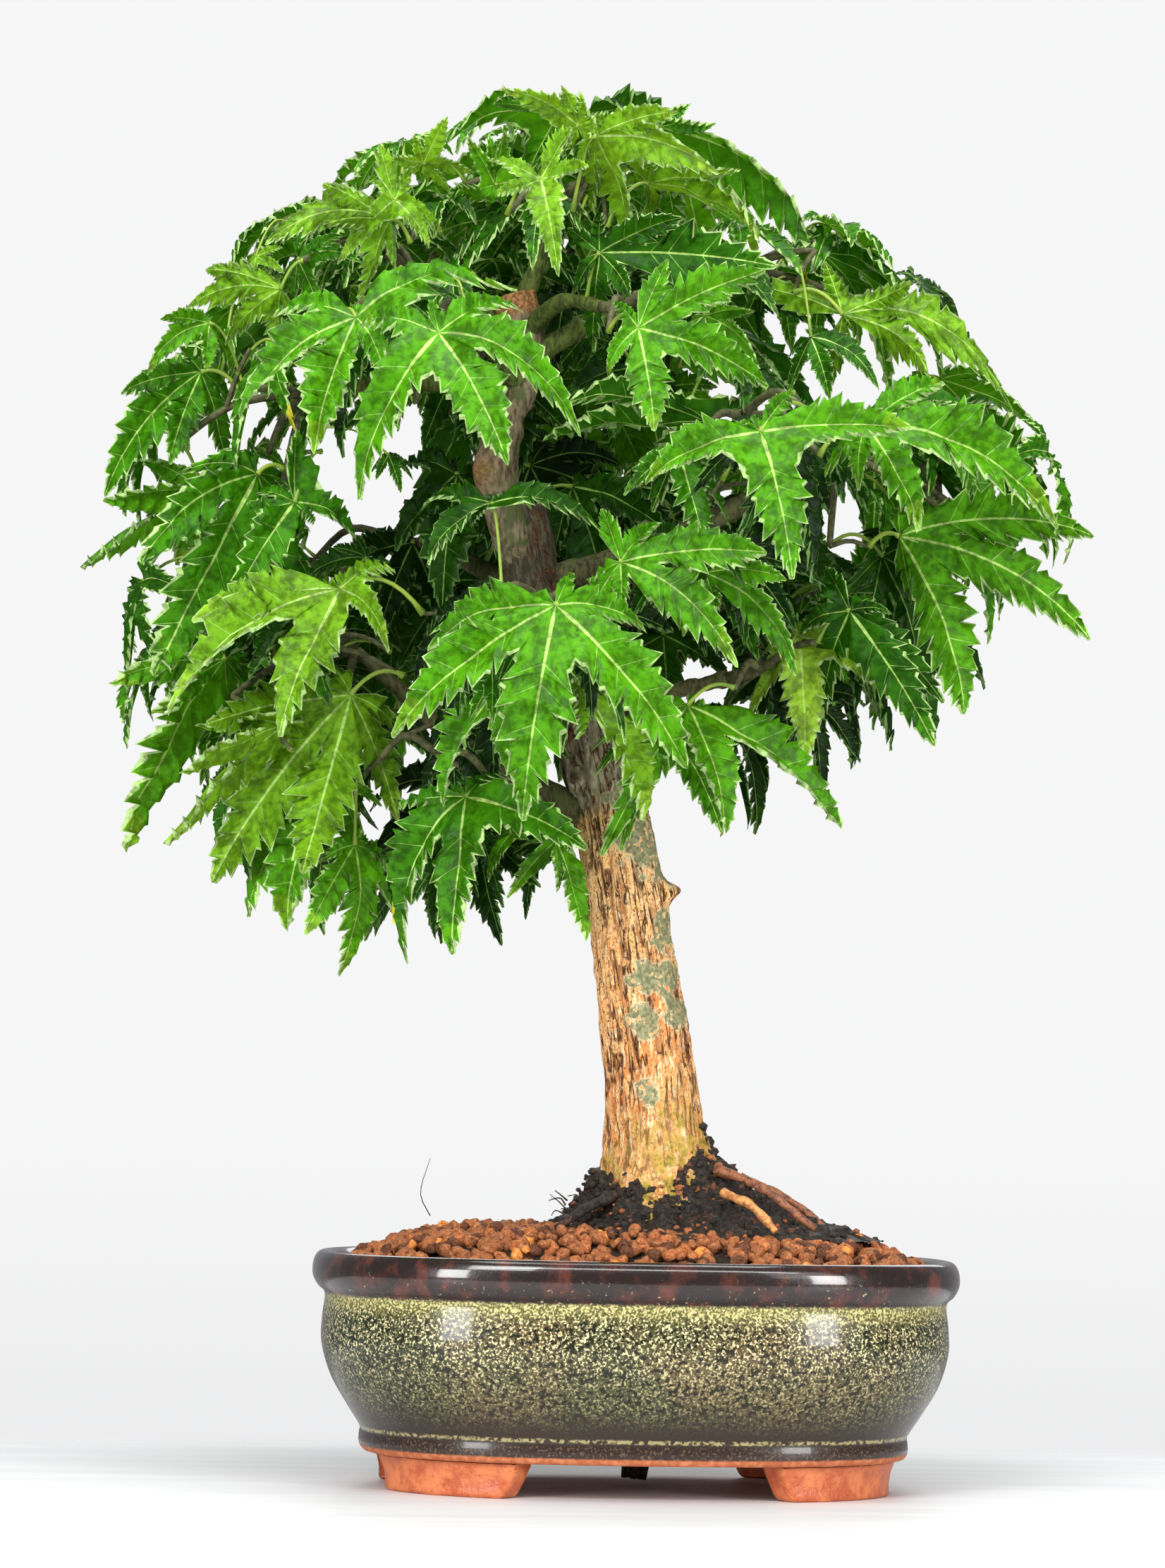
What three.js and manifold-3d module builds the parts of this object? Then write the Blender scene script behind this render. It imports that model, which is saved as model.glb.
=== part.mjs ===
// A lion's-head Japanese maple bonsai in its oval glazed pot, in millimetres, +Z up.
// The pot's long side lies along X. The plant has its own frame, turned a little in the pot,
// with -Y as its front. The origin is on the floor, under the middle of the whole object.
import * as THREE from "three";
import { mergeVertices } from "three/addons/utils/BufferGeometryUtils.js";
import Module from "manifold-3d";

const wasm = await Module();
wasm.setup();

// Shared sizes
const GAP = 0.3;
const PLANT_TURN = THREE.MathUtils.degToRad(-5);
const UP = new THREE.Vector3(0, 0, 1);
const GOLDEN_ANGLE = Math.PI * (3 - Math.sqrt(5));
const SIMPLEST = 0.02;

// Pot: an oval of half-widths and heights, from the drain hole round the outside and back inside
const POT_CORNER = 2.5;
const POT_DEPTH_RATIO = 0.72;
const POT_SIDES = 36;
const POT_BOTTOM = 9.1;
const POT_RIM_TOP = 60.8;
const POT_RIM_HALF_WIDTH = 85;
const POT_FLOOR_TOP = 15;
const DRAIN_RADIUS = 6.5;
const POT_PROFILE = [
  [DRAIN_RADIUS, POT_BOTTOM],
  [70.6, POT_BOTTOM],
  [71.9, 10.8],
  [71.9, 15],
  [75.6, 21],
  [79.6, 28.5],
  [81.7, 38],
  [82.4, 49.6],
  [84.6, 52.4],
  [POT_RIM_HALF_WIDTH, 56.2],
  [84.2, 59.4],
  [81.8, POT_RIM_TOP],
  [79.2, 60.2],
  [77.8, 57.2],
  [76.6, 40],
  [72.5, 23],
  [64, POT_FLOOR_TOP],
  [DRAIN_RADIUS, POT_FLOOR_TOP],
];

// Feet: four corner brackets under the pot, following its oval
const FOOT_OUTER = 69;
const FOOT_INNER = 58;
const FOOT_END_ACROSS = 34;
const FOOT_END_ALONG = 13;
const FOOT_END_SLANT = 4;
const FOOT_STEPS = 6;
const FOOT_SPLAY = 1;

// Soil: a low mound that fills the pot, level under the trunk
const GROUND = 67;
const SOIL_LEVEL_REACH = 47;
const SOIL_PROFILE = [
  [0, POT_FLOOR_TOP + GAP],
  [63, POT_FLOOR_TOP + GAP],
  [71.8, 23.4],
  [75.8, 40],
  [76.6, 54.5],
  [73.5, 59.5],
  [62, 64],
  [SOIL_LEVEL_REACH, GROUND - GAP],
  [0, GROUND - GAP],
];

// Fine roots that hang out of the drain hole
const TUFT_LOW = 5.2;
const TUFT_RADIUS = 4.2;

// Trunk: centre line and radius by height, in the plant's frame
const TRUNK_SIDES = 14;
const TRUNK_RINGS = 18;
const TRUNK_PATH = [
  [6.4, 0, 58],
  [5.2, 0, 84],
  [2.6, -1, 110],
  [-0.8, -1, 132],
  [-6, 0, 162],
  [-10.6, 1, 184],
  [-17.5, 1, 206],
  [-28.5, 0, 233],
  [-35.3, 0, 257.8],
];
const TRUNK_RADII = [
  [58, 17.6],
  [72, 15.8],
  [84, 13.8],
  [95, 12.8],
  [113, 11.9],
  [132, 11],
  [176, 10.1],
  [190, 9.9],
  [203, 8.7],
  [234, 7.5],
  [258, 7.3],
];
// Root flare: ridges that swell towards the ground, each with its bearing and reach
const FLARE_TOP = 100;
const FLARE_POWER = 2.6;
const FLARE_RIDGES = [
  { bearing: -6, reach: 17, spread: 34 },
  { bearing: 75, reach: 8, spread: 40 },
  { bearing: 172, reach: 8, spread: 38 },
  { bearing: 262, reach: 9, spread: 42 },
];
// Surface roots: from the flare down onto the soil
const SURFACE_ROOTS = [
  { from: [17, -9, 84], over: [31, -14, 77], to: [44, -16, GROUND + 0.8], thick: 2.4, thin: 1.5 },
  { from: [14, -14, 77], over: [24, -21, 72], to: [33, -25, GROUND + 0.6], thick: 2, thin: 1.4 },
  { from: [-2, -12, 76], over: [-11, -17, 72], to: [-19, -20, GROUND + 0.5], thick: 2, thin: 1.2 },
];
const UNDERGROUND = [200, 200, 40];
const ROOT_SIDES = 6;
const ROOT_RINGS = 5;
// Knots and pruning scars on the trunk: balls sunk into it by a share of their size
const KNOT_SINK = 0.45;
const KNOTS = [
  { height: 160, bearing: -8, size: 4.2 },
  { height: 188, bearing: 232, size: 4.6 },
  { height: 190, bearing: 292, size: 4.4 },
  { height: 222, bearing: 100, size: 3.6 },
];

// Leader: the thinner stem that took over from the sawn-off trunk
const LEADER_PATH = [
  [-33.5, -1, 244],
  [-37.8, -4.4, 253.5],
  [-41, -6, 267],
  [-39, -4.2, 280],
  [-34.6, -0.5, 292.5],
  [-34.8, 1.5, 305],
  [-37.5, 2, 315],
];
const LEADER_SIDES = 10;
const LEADER_RINGS = 12;
const LEADER_RADII = [
  [244, 5.2],
  [262, 5.5],
  [268, 5.9],
  [280, 4.5],
  [296, 4.2],
  [307, 5.6],
  [315, 6],
];

// Boughs: each leaves its parent at a height and ends where its mass of leaves begins
const BOUGH_SIDES = 6;
const BOUGH_RINGS = 5;
const BOUGHS = [
  { name: "low_left", from: "trunk", height: 171, to: [-46, -5, 189], lift: 3, thick: 4.6, thin: 2.2 },
  { name: "left", from: "low_left", height: 184, to: [-71, 6, 214], lift: -3, thick: 3, thin: 1.8 },
  { name: "front", from: "trunk", height: 211, to: [-27, -38, 228], lift: 4, thick: 3.4, thin: 1.9 },
  { name: "low_right", from: "trunk", height: 197, to: [21, -8, 213], lift: 3, thick: 3.2, thin: 1.8 },
  { name: "front_right", from: "trunk", height: 223, to: [-1, -36, 241], lift: 3, thick: 3.2, thin: 1.8 },
  { name: "right", from: "trunk", height: 237, to: [42, -4, 270], lift: -3, thick: 4.2, thin: 2.2 },
  { name: "mid_right", from: "right", height: 253, to: [20, -30, 274], lift: 2, thick: 2.8, thin: 1.7 },
  { name: "far_left", from: "leader", height: 284, to: [-82, 0, 289], lift: 5, thick: 3, thin: 1.8 },
  { name: "upper_front", from: "leader", height: 290, to: [-52, -31, 302], lift: 3, thick: 2.7, thin: 1.7 },
  { name: "upper_left", from: "leader", height: 300, to: [-66, 4, 323], lift: 2, thick: 3, thin: 1.8 },
  { name: "upper_right", from: "leader", height: 297, to: [13, 6, 322], lift: 3, thick: 3.2, thin: 1.9 },
  { name: "crest_front", from: "leader", height: 305, to: [-14, -28, 308], lift: 5, thick: 2.6, thin: 1.6 },
  { name: "crest", from: "leader", height: 311, to: [-27, 2, 334], lift: 0, thick: 3, thin: 1.8 },
  { name: "upper_back", from: "leader", height: 303, to: [-28, 38, 316], lift: 3, thick: 2.8, thin: 1.7 },
  { name: "back_left", from: "trunk", height: 230, to: [-64, 38, 252], lift: 3, thick: 3.2, thin: 1.8 },
  { name: "back_right", from: "trunk", height: 216, to: [14, 40, 244], lift: 3, thick: 3.4, thin: 1.8 },
];

// Masses of leaves: each grows from the bough of its own name and keeps to its own oval space
const MASSES = [
  { name: "front", seed: 334, centre: [-27, -62, 205], reach: [50, 36, 40],
    leads: [{ hub: [-24.8, -72, 226], turn: 2, size: 48 }] },
  { name: "upper_front", seed: 318, centre: [-64, -48, 287], reach: [50, 36, 38],
    leads: [{ hub: [-55, -58, 297], turn: -4, size: 46 }] },
  { name: "front_right", seed: 335, centre: [8, -56, 226], reach: [40, 34, 38],
    leads: [{ hub: [-8.2, -50, 237], turn: 20, size: 46 }] },
  { name: "mid_right", seed: 321, centre: [27, -54, 268], reach: [40, 34, 32],
    leads: [{ hub: [26.4, -66, 271], turn: -14, size: 44 }] },
  { name: "crest_front", seed: 333, centre: [-2, -44, 304], reach: [36, 32, 30],
    leads: [{ hub: [-5.1, -60, 298], turn: 0, size: 36 }] },
  { name: "low_left", seed: 336, centre: [-54, -16, 172], reach: [50, 46, 42],
    leads: [{ hub: [-46.6, -34, 179], turn: -10, size: 46 }] },
  { name: "left", seed: 321, centre: [-101, -6, 203], reach: [44, 52, 52],
    leads: [{ hub: [-80.4, -35, 232], turn: -30, size: 48 }, { hub: [-80, -16, 208], turn: -10, size: 52 }] },
  { name: "far_left", seed: 340, centre: [-113, -6, 266], reach: [42, 52, 44],
    leads: [{ hub: [-97.7, -24, 258], turn: -30, size: 42 }, { hub: [-117, -10, 285], turn: -12, size: 50 }] },
  { name: "upper_left", seed: 301, centre: [-80, -2, 323], reach: [44, 50, 34],
    leads: [{ hub: [-72, -32, 332], turn: -20, size: 46 }] },
  { name: "crest", seed: 333, centre: [-24, -4, 340], reach: [54, 52, 32],
    leads: [{ hub: [-27, -40, 339], turn: 0, size: 40 }] },
  { name: "upper_right", seed: 310, centre: [40, 2, 316], reach: [60, 52, 38],
    leads: [{ hub: [47, -6, 313], turn: 45, size: 52 }] },
  { name: "right", seed: 330, centre: [72, -4, 255], reach: [50, 52, 48],
    leads: [{ hub: [57, -42, 274], turn: 20, size: 50 }, { hub: [72, -8, 254], turn: 20, size: 54 }] },
  { name: "low_right", seed: 315, centre: [38, -14, 207], reach: [48, 48, 36],
    leads: [{ hub: [6.6, -34, 204], turn: 20, size: 44 }] },
  { name: "upper_back", seed: 321, centre: [-26, 62, 308], reach: [58, 40, 44], leads: [] },
  { name: "back_left", seed: 313, centre: [-74, 60, 238], reach: [52, 44, 50], leads: [] },
  { name: "back_right", seed: 317, centre: [26, 62, 238], reach: [56, 44, 50], leads: [] },
];

// Twigs: a short stem at the bough's tip, and shoots that fan out from it over its space
const STEM_LENGTH = 9;
const STEM_SIDES = 5;
const STEM_THIN = 1.5;
const SHOOTS = 5;
const SHOOT_SIDES = 3;
const SHOOT_RADII = [1.25, 0.85];
const SHOOT_REACH = 0.52;
const SHOOT_LEVELS = [0.75, -0.55];
const SHOOT_LEVEL_PLAY = 0.15;
const SHOOT_SWING_PLAY = 0.3;
const SHOOT_LIFT = [3, 8];
const PETIOLE_RADIUS = 0.65;
const PETIOLE_ARCH = 0.22;
const PETIOLE_STEEPEST = -0.3;

// Leaves along each shoot: where they may leave it, and how many tries each place gets
const LEAF_PLACES = [1, 1, 0.7, 0.7, 0.4];
const TRIES = 30;
const MOST_LEAVES = 7;
const OUTWARD_PULL = 0.9;
// What is drawn for each try, between two limits: the petiole's bearing, rise and length, then
// the blade's turn, lean, roll, size and droop
const LEAF_DRAWS = {
  swing: [0, 2 * Math.PI],
  rise: [-0.4, 0.7],
  stretch: [10, 34],
  turn: [-0.95, 0.95],
  lean: [-0.25, 0.25],
  roll: [-0.45, 0.45],
  size: [40, 52],
  droop: [0.15, 0.45],
};
const LEAD_DROOP = 0.3;

// Leaf shape: lobes by bearing and length, as a share of the middle lobe
const LOBES = [
  { bearing: -130, length: 0.38 },
  { bearing: -88, length: 0.7 },
  { bearing: -45, length: 0.97 },
  { bearing: 0, length: 1 },
  { bearing: 45, length: 0.97 },
  { bearing: 88, length: 0.7 },
  { bearing: 130, length: 0.38 },
];
const SMALL_LOBE = 0.5;
const SINUS_DEPTH = 0.2;
const LOBE_HALF_WIDTH = 0.155;
const LOBE_WIDEST = 0.5;
const LOBE_FOLD = 0.25;
const DROOP_SHORTENS = 0.3;
const LEAF_THICKNESS = 1.2;

// How the leaves lie on the crown
const CROWN_MIDDLE = new THREE.Vector3(-16, 0, 222);
const CROWN_REACH = new THREE.Vector3(135, 115, 150);
const FACE_FORE_AND_AFT = 0.5;
const FACE_TURNS_AT = 25;
const FACE_TURNS_OVER = 20;
const FACE_RISE = 0.35;
const HEADING_OUT = 0.6;
// The crown's reach as seen from the front, every 30 degrees from the right and over the top
const CROWN_CENTRE = new THREE.Vector3(-16, 0, 240);
const CROWN_OUTLINE = [134, 127, 118, 131, 130, 133, 134, 134, 121, 87, 79, 98];
const CROWN_HALF_DEPTH = 124;
const CROWN_ROUNDING = 2.6;
const BLADE_SPACE = 1.7;
const BLADE_INNER = 0.65;
// Clearings: where the sky, or the bare trunk behind, shows between the leaves from the front
const EYE = new THREE.Vector3(-16.6, -1320, 101);
const CLEARINGS = [
  { x: -81, z: 261, wide: 11, high: 15, before: 200 },
  { x: -63, z: 277, wide: 5, high: 5, before: 200 },
  { x: 52, z: 297, wide: 12, high: 9, before: 200 },
  { x: 52, z: 254, wide: 5, high: 6, before: 200 },
  { x: -119, z: 272, wide: 6, high: 6, before: 200 },
  { x: 16, z: 212, wide: 5, high: 4, before: 200 },
  { x: -34.5, z: 249, wide: 8, high: 12, before: 0 },
  { x: -41, z: 273, wide: 6, high: 6, before: 0 },
  { x: -34.5, z: 291, wide: 4, high: 5, before: 0 },
  { x: -39, z: 314, wide: 7, high: 4, before: 0 },
];

// Seeded draws between 0 and 1
function seededDraws(seed) {
  let state = seed >>> 0;
  return () => {
    state = (state + 0x6d2b79f5) >>> 0;
    let mixed = Math.imul(state ^ (state >>> 15), 1 | state);
    mixed = (mixed + Math.imul(mixed ^ (mixed >>> 7), 61 | mixed)) ^ mixed;
    return ((mixed ^ (mixed >>> 14)) >>> 0) / 4294967296;
  };
}

// A draw between minus and plus a limit
function drawn(draw, limit) {
  return (2 * draw() - 1) * limit;
}

// Joining and cutting
function solidOf(geometry) {
  const bare = geometry.clone();
  bare.deleteAttribute("normal");
  bare.deleteAttribute("uv");
  const merged = mergeVertices(bare, 1e-4);
  const vertProperties = new Float32Array(merged.attributes.position.array);
  const triVerts = new Uint32Array(merged.index.array);
  return new wasm.Manifold(new wasm.Mesh({ numProp: 3, vertProperties, triVerts }));
}

function geometryOf(solid) {
  const mesh = solid.getMesh();
  const geometry = new THREE.BufferGeometry();
  geometry.setAttribute("position", new THREE.BufferAttribute(mesh.vertProperties, 3));
  geometry.setIndex(new THREE.BufferAttribute(mesh.triVerts, 1));
  geometry.computeVertexNormals();
  return geometry;
}

function finish(color, roughness) {
  return new THREE.MeshStandardMaterial({ color, roughness, metalness: 0 });
}

function named(name, geometry, material) {
  const mesh = new THREE.Mesh(geometry, material);
  mesh.name = name;
  return mesh;
}

function valueAt(table, height) {
  const upper = table.findIndex(([at]) => at >= height);
  if (upper === 0) return table[0][1];
  if (upper < 0) return table[table.length - 1][1];
  const [lowAt, low] = table[upper - 1];
  const [highAt, high] = table[upper];
  return THREE.MathUtils.lerp(low, high, (height - lowAt) / (highAt - lowAt));
}

// A limb: a cylinder bent along a curve, with a radius that may change along and around it
function limb(curve, radiusAt, sides, rings) {
  const geometry = new THREE.CylinderGeometry(1, 1, 1, sides, rings);
  const frames = curve.computeFrenetFrames(rings);
  const place = geometry.attributes.position;
  const point = new THREE.Vector3();
  for (let i = 0; i < place.count; i += 1) {
    const along = THREE.MathUtils.clamp(place.getY(i) + 0.5, 0, 1);
    const ring = Math.round(along * rings);
    curve.getPointAt(along, point);
    const radius = radiusAt(along, point, frames.binormals[ring], frames.normals[ring],
      Math.atan2(place.getZ(i), place.getX(i)));
    point.addScaledVector(frames.binormals[ring], place.getX(i) * radius);
    point.addScaledVector(frames.normals[ring], place.getZ(i) * radius);
    place.setXYZ(i, point.x, point.y, point.z);
  }
  return geometry;
}

function curveThrough(points) {
  return new THREE.CatmullRomCurve3(points.map((p) => new THREE.Vector3(...p)));
}

function tapered(thick, thin) {
  return (along) => THREE.MathUtils.lerp(thick, thin, along);
}

// The curve's point at a height, found by halving
function pointAtHeight(curve, height) {
  let low = 0;
  let high = 1;
  for (let step = 0; step < 30; step += 1) {
    const middle = (low + high) / 2;
    if (curve.getPointAt(middle).z < height) low = middle;
    else high = middle;
  }
  return curve.getPointAt(low);
}

// Pot and feet
function ovalPoint(halfWidth, bearing, height) {
  const rounded = (v) => Math.sign(v) * Math.abs(v) ** (2 / POT_CORNER);
  const x = halfWidth * rounded(Math.cos(bearing));
  const y = halfWidth * POT_DEPTH_RATIO * rounded(Math.sin(bearing));
  return new THREE.Vector3(x, y, height);
}

function ovalTurned(profile) {
  const outline = profile.map(([radius, height]) => new THREE.Vector2(radius, height));
  const geometry = new THREE.LatheGeometry(outline, POT_SIDES);
  geometry.rotateX(Math.PI / 2);
  const place = geometry.attributes.position;
  for (let i = 0; i < place.count; i += 1) {
    const halfWidth = Math.hypot(place.getX(i), place.getY(i));
    const step = (2 * Math.PI) / POT_SIDES;
    const bearing = Math.round(Math.atan2(place.getY(i), place.getX(i)) / step) * step;
    const point = ovalPoint(halfWidth, bearing, place.getZ(i));
    place.setXYZ(i, point.x, point.y, point.z);
  }
  return geometry;
}

function facingOut(geometry) {
  const solid = solidOf(geometry);
  if (solid.volume() > 0) return geometry;
  const index = geometry.index.array;
  for (let i = 0; i < index.length; i += 3) [index[i], index[i + 1]] = [index[i + 1], index[i]];
  return geometry;
}

function potBody() {
  return facingOut(ovalTurned([...POT_PROFILE, POT_PROFILE[0]]));
}

function soilMound() {
  return facingOut(ovalTurned(SOIL_PROFILE));
}

// A foot: a box whose long way follows the oval from its front end to its side end
function potFoot(sideways, frontways) {
  const geometry = new THREE.BoxGeometry(1, 1, 1, FOOT_STEPS, 1, 1);
  const place = geometry.attributes.position;
  const bearingWhere = (share) => Math.acos(share ** (POT_CORNER / 2));
  const height = POT_BOTTOM - GAP;
  for (let i = 0; i < place.count; i += 1) {
    const up = place.getZ(i) + 0.5;
    const slant = FOOT_END_SLANT * (1 - up);
    const splay = FOOT_SPLAY * (1 - up);
    const outer = place.getY(i) > 0 ? FOOT_OUTER - splay : FOOT_INNER + 2 * splay;
    const nearEnd = bearingWhere((FOOT_END_ACROSS + slant) / FOOT_OUTER);
    const farShare = (FOOT_END_ALONG + slant) / (FOOT_OUTER * POT_DEPTH_RATIO);
    const farEnd = Math.PI / 2 - bearingWhere(farShare);
    const bearing = THREE.MathUtils.lerp(nearEnd, farEnd, place.getX(i) + 0.5);
    const point = ovalPoint(outer, bearing, up * height);
    place.setXYZ(i, point.x * sideways, point.y * frontways, point.z);
  }
  return facingOut(geometry);
}

function rootTuft() {
  const path = curveThrough([[0, 0, TUFT_LOW], [0.4, 0.3, 9], [0, 0, POT_FLOOR_TOP - GAP]]);
  const ragged = (along, point, binormal, normal, angle) =>
    TUFT_RADIUS * (0.55 + 0.45 * along) * (1 + 0.16 * Math.sin(3 * angle + 4 * along));
  return limb(path, ragged, 9, 5);
}

// Trunk, leader and boughs
const trunkCurve = curveThrough(TRUNK_PATH);
const leaderCurve = curveThrough(LEADER_PATH);

function trunkRadius(grown) {
  return (along, point, binormal, normal, angle) => {
    const outward = binormal.clone().multiplyScalar(Math.cos(angle));
    outward.addScaledVector(normal, Math.sin(angle));
    const bearing = THREE.MathUtils.radToDeg(Math.atan2(outward.y, outward.x));
    const low = THREE.MathUtils.clamp((FLARE_TOP - point.z) / (FLARE_TOP - GROUND), 0, 1.1);
    let flare = 0;
    for (const ridge of FLARE_RIDGES) {
      const off = Math.abs(((bearing - ridge.bearing + 540) % 360) - 180);
      flare += ridge.reach * Math.exp(-((off / ridge.spread) ** 2));
    }
    return valueAt(TRUNK_RADII, point.z) + flare * low ** FLARE_POWER + grown;
  };
}

function trunkKnot(knot) {
  const centre = pointAtHeight(trunkCurve, knot.height);
  const bearing = THREE.MathUtils.degToRad(knot.bearing);
  const outward = new THREE.Vector3(Math.cos(bearing), Math.sin(bearing), 0);
  centre.addScaledVector(outward, valueAt(TRUNK_RADII, knot.height) - knot.size * KNOT_SINK);
  const ball = new THREE.SphereGeometry(knot.size, 8, 6);
  ball.translate(centre.x, centre.y, centre.z);
  return solidOf(ball);
}

function trunkSolid(grown) {
  let solid = solidOf(limb(trunkCurve, trunkRadius(grown), TRUNK_SIDES, TRUNK_RINGS));
  for (const root of SURFACE_ROOTS) {
    const path = curveThrough([root.from, root.over, root.to]);
    const radii = tapered(root.thick + grown, root.thin + grown);
    solid = solid.add(solidOf(limb(path, radii, ROOT_SIDES, ROOT_RINGS)));
  }
  for (const knot of KNOTS) solid = solid.add(trunkKnot({ ...knot, size: knot.size + grown }));
  const below = new THREE.BoxGeometry(...UNDERGROUND);
  below.translate(0, 0, GROUND - UNDERGROUND[2] / 2);
  return solid.subtract(solidOf(below));
}

function leaderSolid(grown) {
  const radius = (along, point) => valueAt(LEADER_RADII, point.z) + grown;
  return solidOf(limb(leaderCurve, radius, LEADER_SIDES, LEADER_RINGS));
}

const trunk = trunkSolid(0);
const trunkGrown = trunkSolid(GAP);
const limbs = new Map();
limbs.set("trunk", { curve: trunkCurve, solid: trunk, grown: trunkGrown });
limbs.set("leader", {
  curve: leaderCurve,
  solid: largestBody(leaderSolid(0).subtract(trunkGrown)),
  grown: leaderSolid(GAP),
});

function largestBody(solid) {
  const bodies = solid.decompose().filter((body) => body.volume() > 0);
  return bodies.sort((a, b) => b.volume() - a.volume())[0];
}

function addBough(bough) {
  const parent = limbs.get(bough.from);
  const start = pointAtHeight(parent.curve, bough.height);
  const end = new THREE.Vector3(...bough.to);
  const middle = start.clone().lerp(end, 0.5).addScaledVector(UP, bough.lift);
  const curve = new THREE.CatmullRomCurve3([start, middle, end]);
  const shape = (grown) =>
    solidOf(limb(curve, tapered(bough.thick + grown, bough.thin + grown), BOUGH_SIDES, BOUGH_RINGS));
  let solid = shape(0);
  for (const other of limbs.values()) solid = solid.subtract(other.grown);
  limbs.set(bough.name, { curve, solid: largestBody(solid), grown: shape(GAP), thin: bough.thin });
}

BOUGHS.forEach(addBough);

// Leaves
function lobePoint(leaf, bearing, length, along, aside) {
  const way = leaf.along.clone().multiplyScalar(Math.cos(bearing));
  way.addScaledVector(leaf.aside, Math.sin(bearing));
  const across = leaf.face.clone().cross(way);
  const point = leaf.hub.clone();
  point.addScaledVector(way, length * along * (1 - DROOP_SHORTENS * leaf.droop * along ** 2));
  point.addScaledVector(UP, -leaf.droop * length * along ** 2);
  point.addScaledVector(across, length * aside);
  return point.addScaledVector(leaf.face, length * LOBE_FOLD * Math.abs(aside));
}

function petioleMiddle(hub, from) {
  return hub.clone().lerp(from, 0.5).addScaledVector(UP, from.distanceTo(hub) * PETIOLE_ARCH);
}

function petioleEnd(hub, from) {
  return hub.clone().sub(petioleMiddle(hub, from)).normalize();
}

// One leaf in one skin: the rim runs round the lobes and the notches between them, both sides
// fan out from the hub, and a four-sided petiole runs from the open back of the hub to the twig
function leafGeometry(leaf, from) {
  const places = [];
  const faces = [];
  const add = (point) => places.push(point) - 1;
  const radians = THREE.MathUtils.degToRad;
  const hubOffset = (direction, size) => add(leaf.hub.clone().addScaledVector(direction, size));
  const top = hubOffset(leaf.face, LEAF_THICKNESS / 2);
  const bottom = hubOffset(leaf.face, -LEAF_THICKNESS / 2);
  const right = hubOffset(leaf.aside, -PETIOLE_RADIUS);
  const left = hubOffset(leaf.aside, PETIOLE_RADIUS);
  const rim = [right];
  LOBES.forEach((lobe, i) => {
    const length = lobe.length * leaf.size;
    const spot = (along, aside) => add(lobePoint(leaf, radians(lobe.bearing), length, along, aside));
    const narrow = lobe.length < SMALL_LOBE;
    if (!narrow) rim.push(spot(LOBE_WIDEST, -LOBE_HALF_WIDTH));
    rim.push(spot(1, 0));
    if (!narrow) rim.push(spot(LOBE_WIDEST, LOBE_HALF_WIDTH));
    const next = LOBES[i + 1];
    if (!next) return;
    const depth = leaf.size * SINUS_DEPTH * Math.sqrt(Math.min(lobe.length, next.length));
    rim.push(add(lobePoint(leaf, radians((lobe.bearing + next.bearing) / 2), depth, 1, 0)));
  });
  rim.push(left);
  for (let k = 1; k < rim.length; k += 1) {
    faces.push(top, rim[k - 1], rim[k], bottom, rim[k], rim[k - 1]);
  }
  let ring = [top, left, bottom, right];
  const way = from && petioleEnd(leaf.hub, from);
  for (const centre of from ? [petioleMiddle(leaf.hub, from), from] : []) {
    const above = leaf.face.clone().addScaledVector(leaf.along, -way.dot(leaf.face));
    above.addScaledVector(way, -above.dot(way)).normalize();
    const beside = above.clone().cross(way);
    const corners = [above, beside, above.clone().negate(), beside.clone().negate()];
    const next = corners.map((corner) => add(centre.clone().addScaledVector(corner, PETIOLE_RADIUS)));
    ring.forEach((corner, i) => {
      const j = (i + 1) % ring.length;
      faces.push(corner, ring[j], next[i], ring[j], next[j], next[i]);
    });
    ring = next;
  }
  faces.push(ring[0], ring[1], ring[2], ring[0], ring[2], ring[3]);
  const geometry = new THREE.BufferGeometry().setFromPoints(places);
  geometry.setIndex(faces);
  return geometry;
}

// A leaf hangs like a shingle on the crown: its face looks out of the crown, its middle lobe
// points downhill, and turn, lean and roll vary it
function leafAt(hub, { turn, lean, roll, size, droop }) {
  const face = hub.clone().sub(CROWN_MIDDLE).divide(CROWN_REACH);
  face.y += FACE_FORE_AND_AFT * THREE.MathUtils.clamp((hub.y - FACE_TURNS_AT) / FACE_TURNS_OVER, -1, 1);
  face.z = Math.max(face.z, 0) + FACE_RISE + lean;
  face.normalize();
  const outward = new THREE.Vector3(hub.x - CROWN_MIDDLE.x, hub.y - CROWN_MIDDLE.y, 0);
  const downhill = outward.normalize().multiplyScalar(HEADING_OUT).addScaledVector(UP, -1);
  const along = downhill.addScaledVector(face, -downhill.dot(face)).normalize();
  along.applyAxisAngle(face, turn);
  face.applyAxisAngle(along, roll);
  return { hub, along, face, aside: face.clone().cross(along), size, droop };
}

function seenFromFront(point) {
  const scale = EYE.y / (EYE.y - point.y);
  return { x: EYE.x + (point.x - EYE.x) * scale, z: EYE.z + (point.z - EYE.z) * scale };
}

function insideSpace(mass, points) {
  const centre = new THREE.Vector3(...mass.centre);
  const reach = new THREE.Vector3(...mass.reach);
  return points.every((point) => point.clone().sub(centre).divide(reach).length() <= BLADE_SPACE);
}

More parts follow.
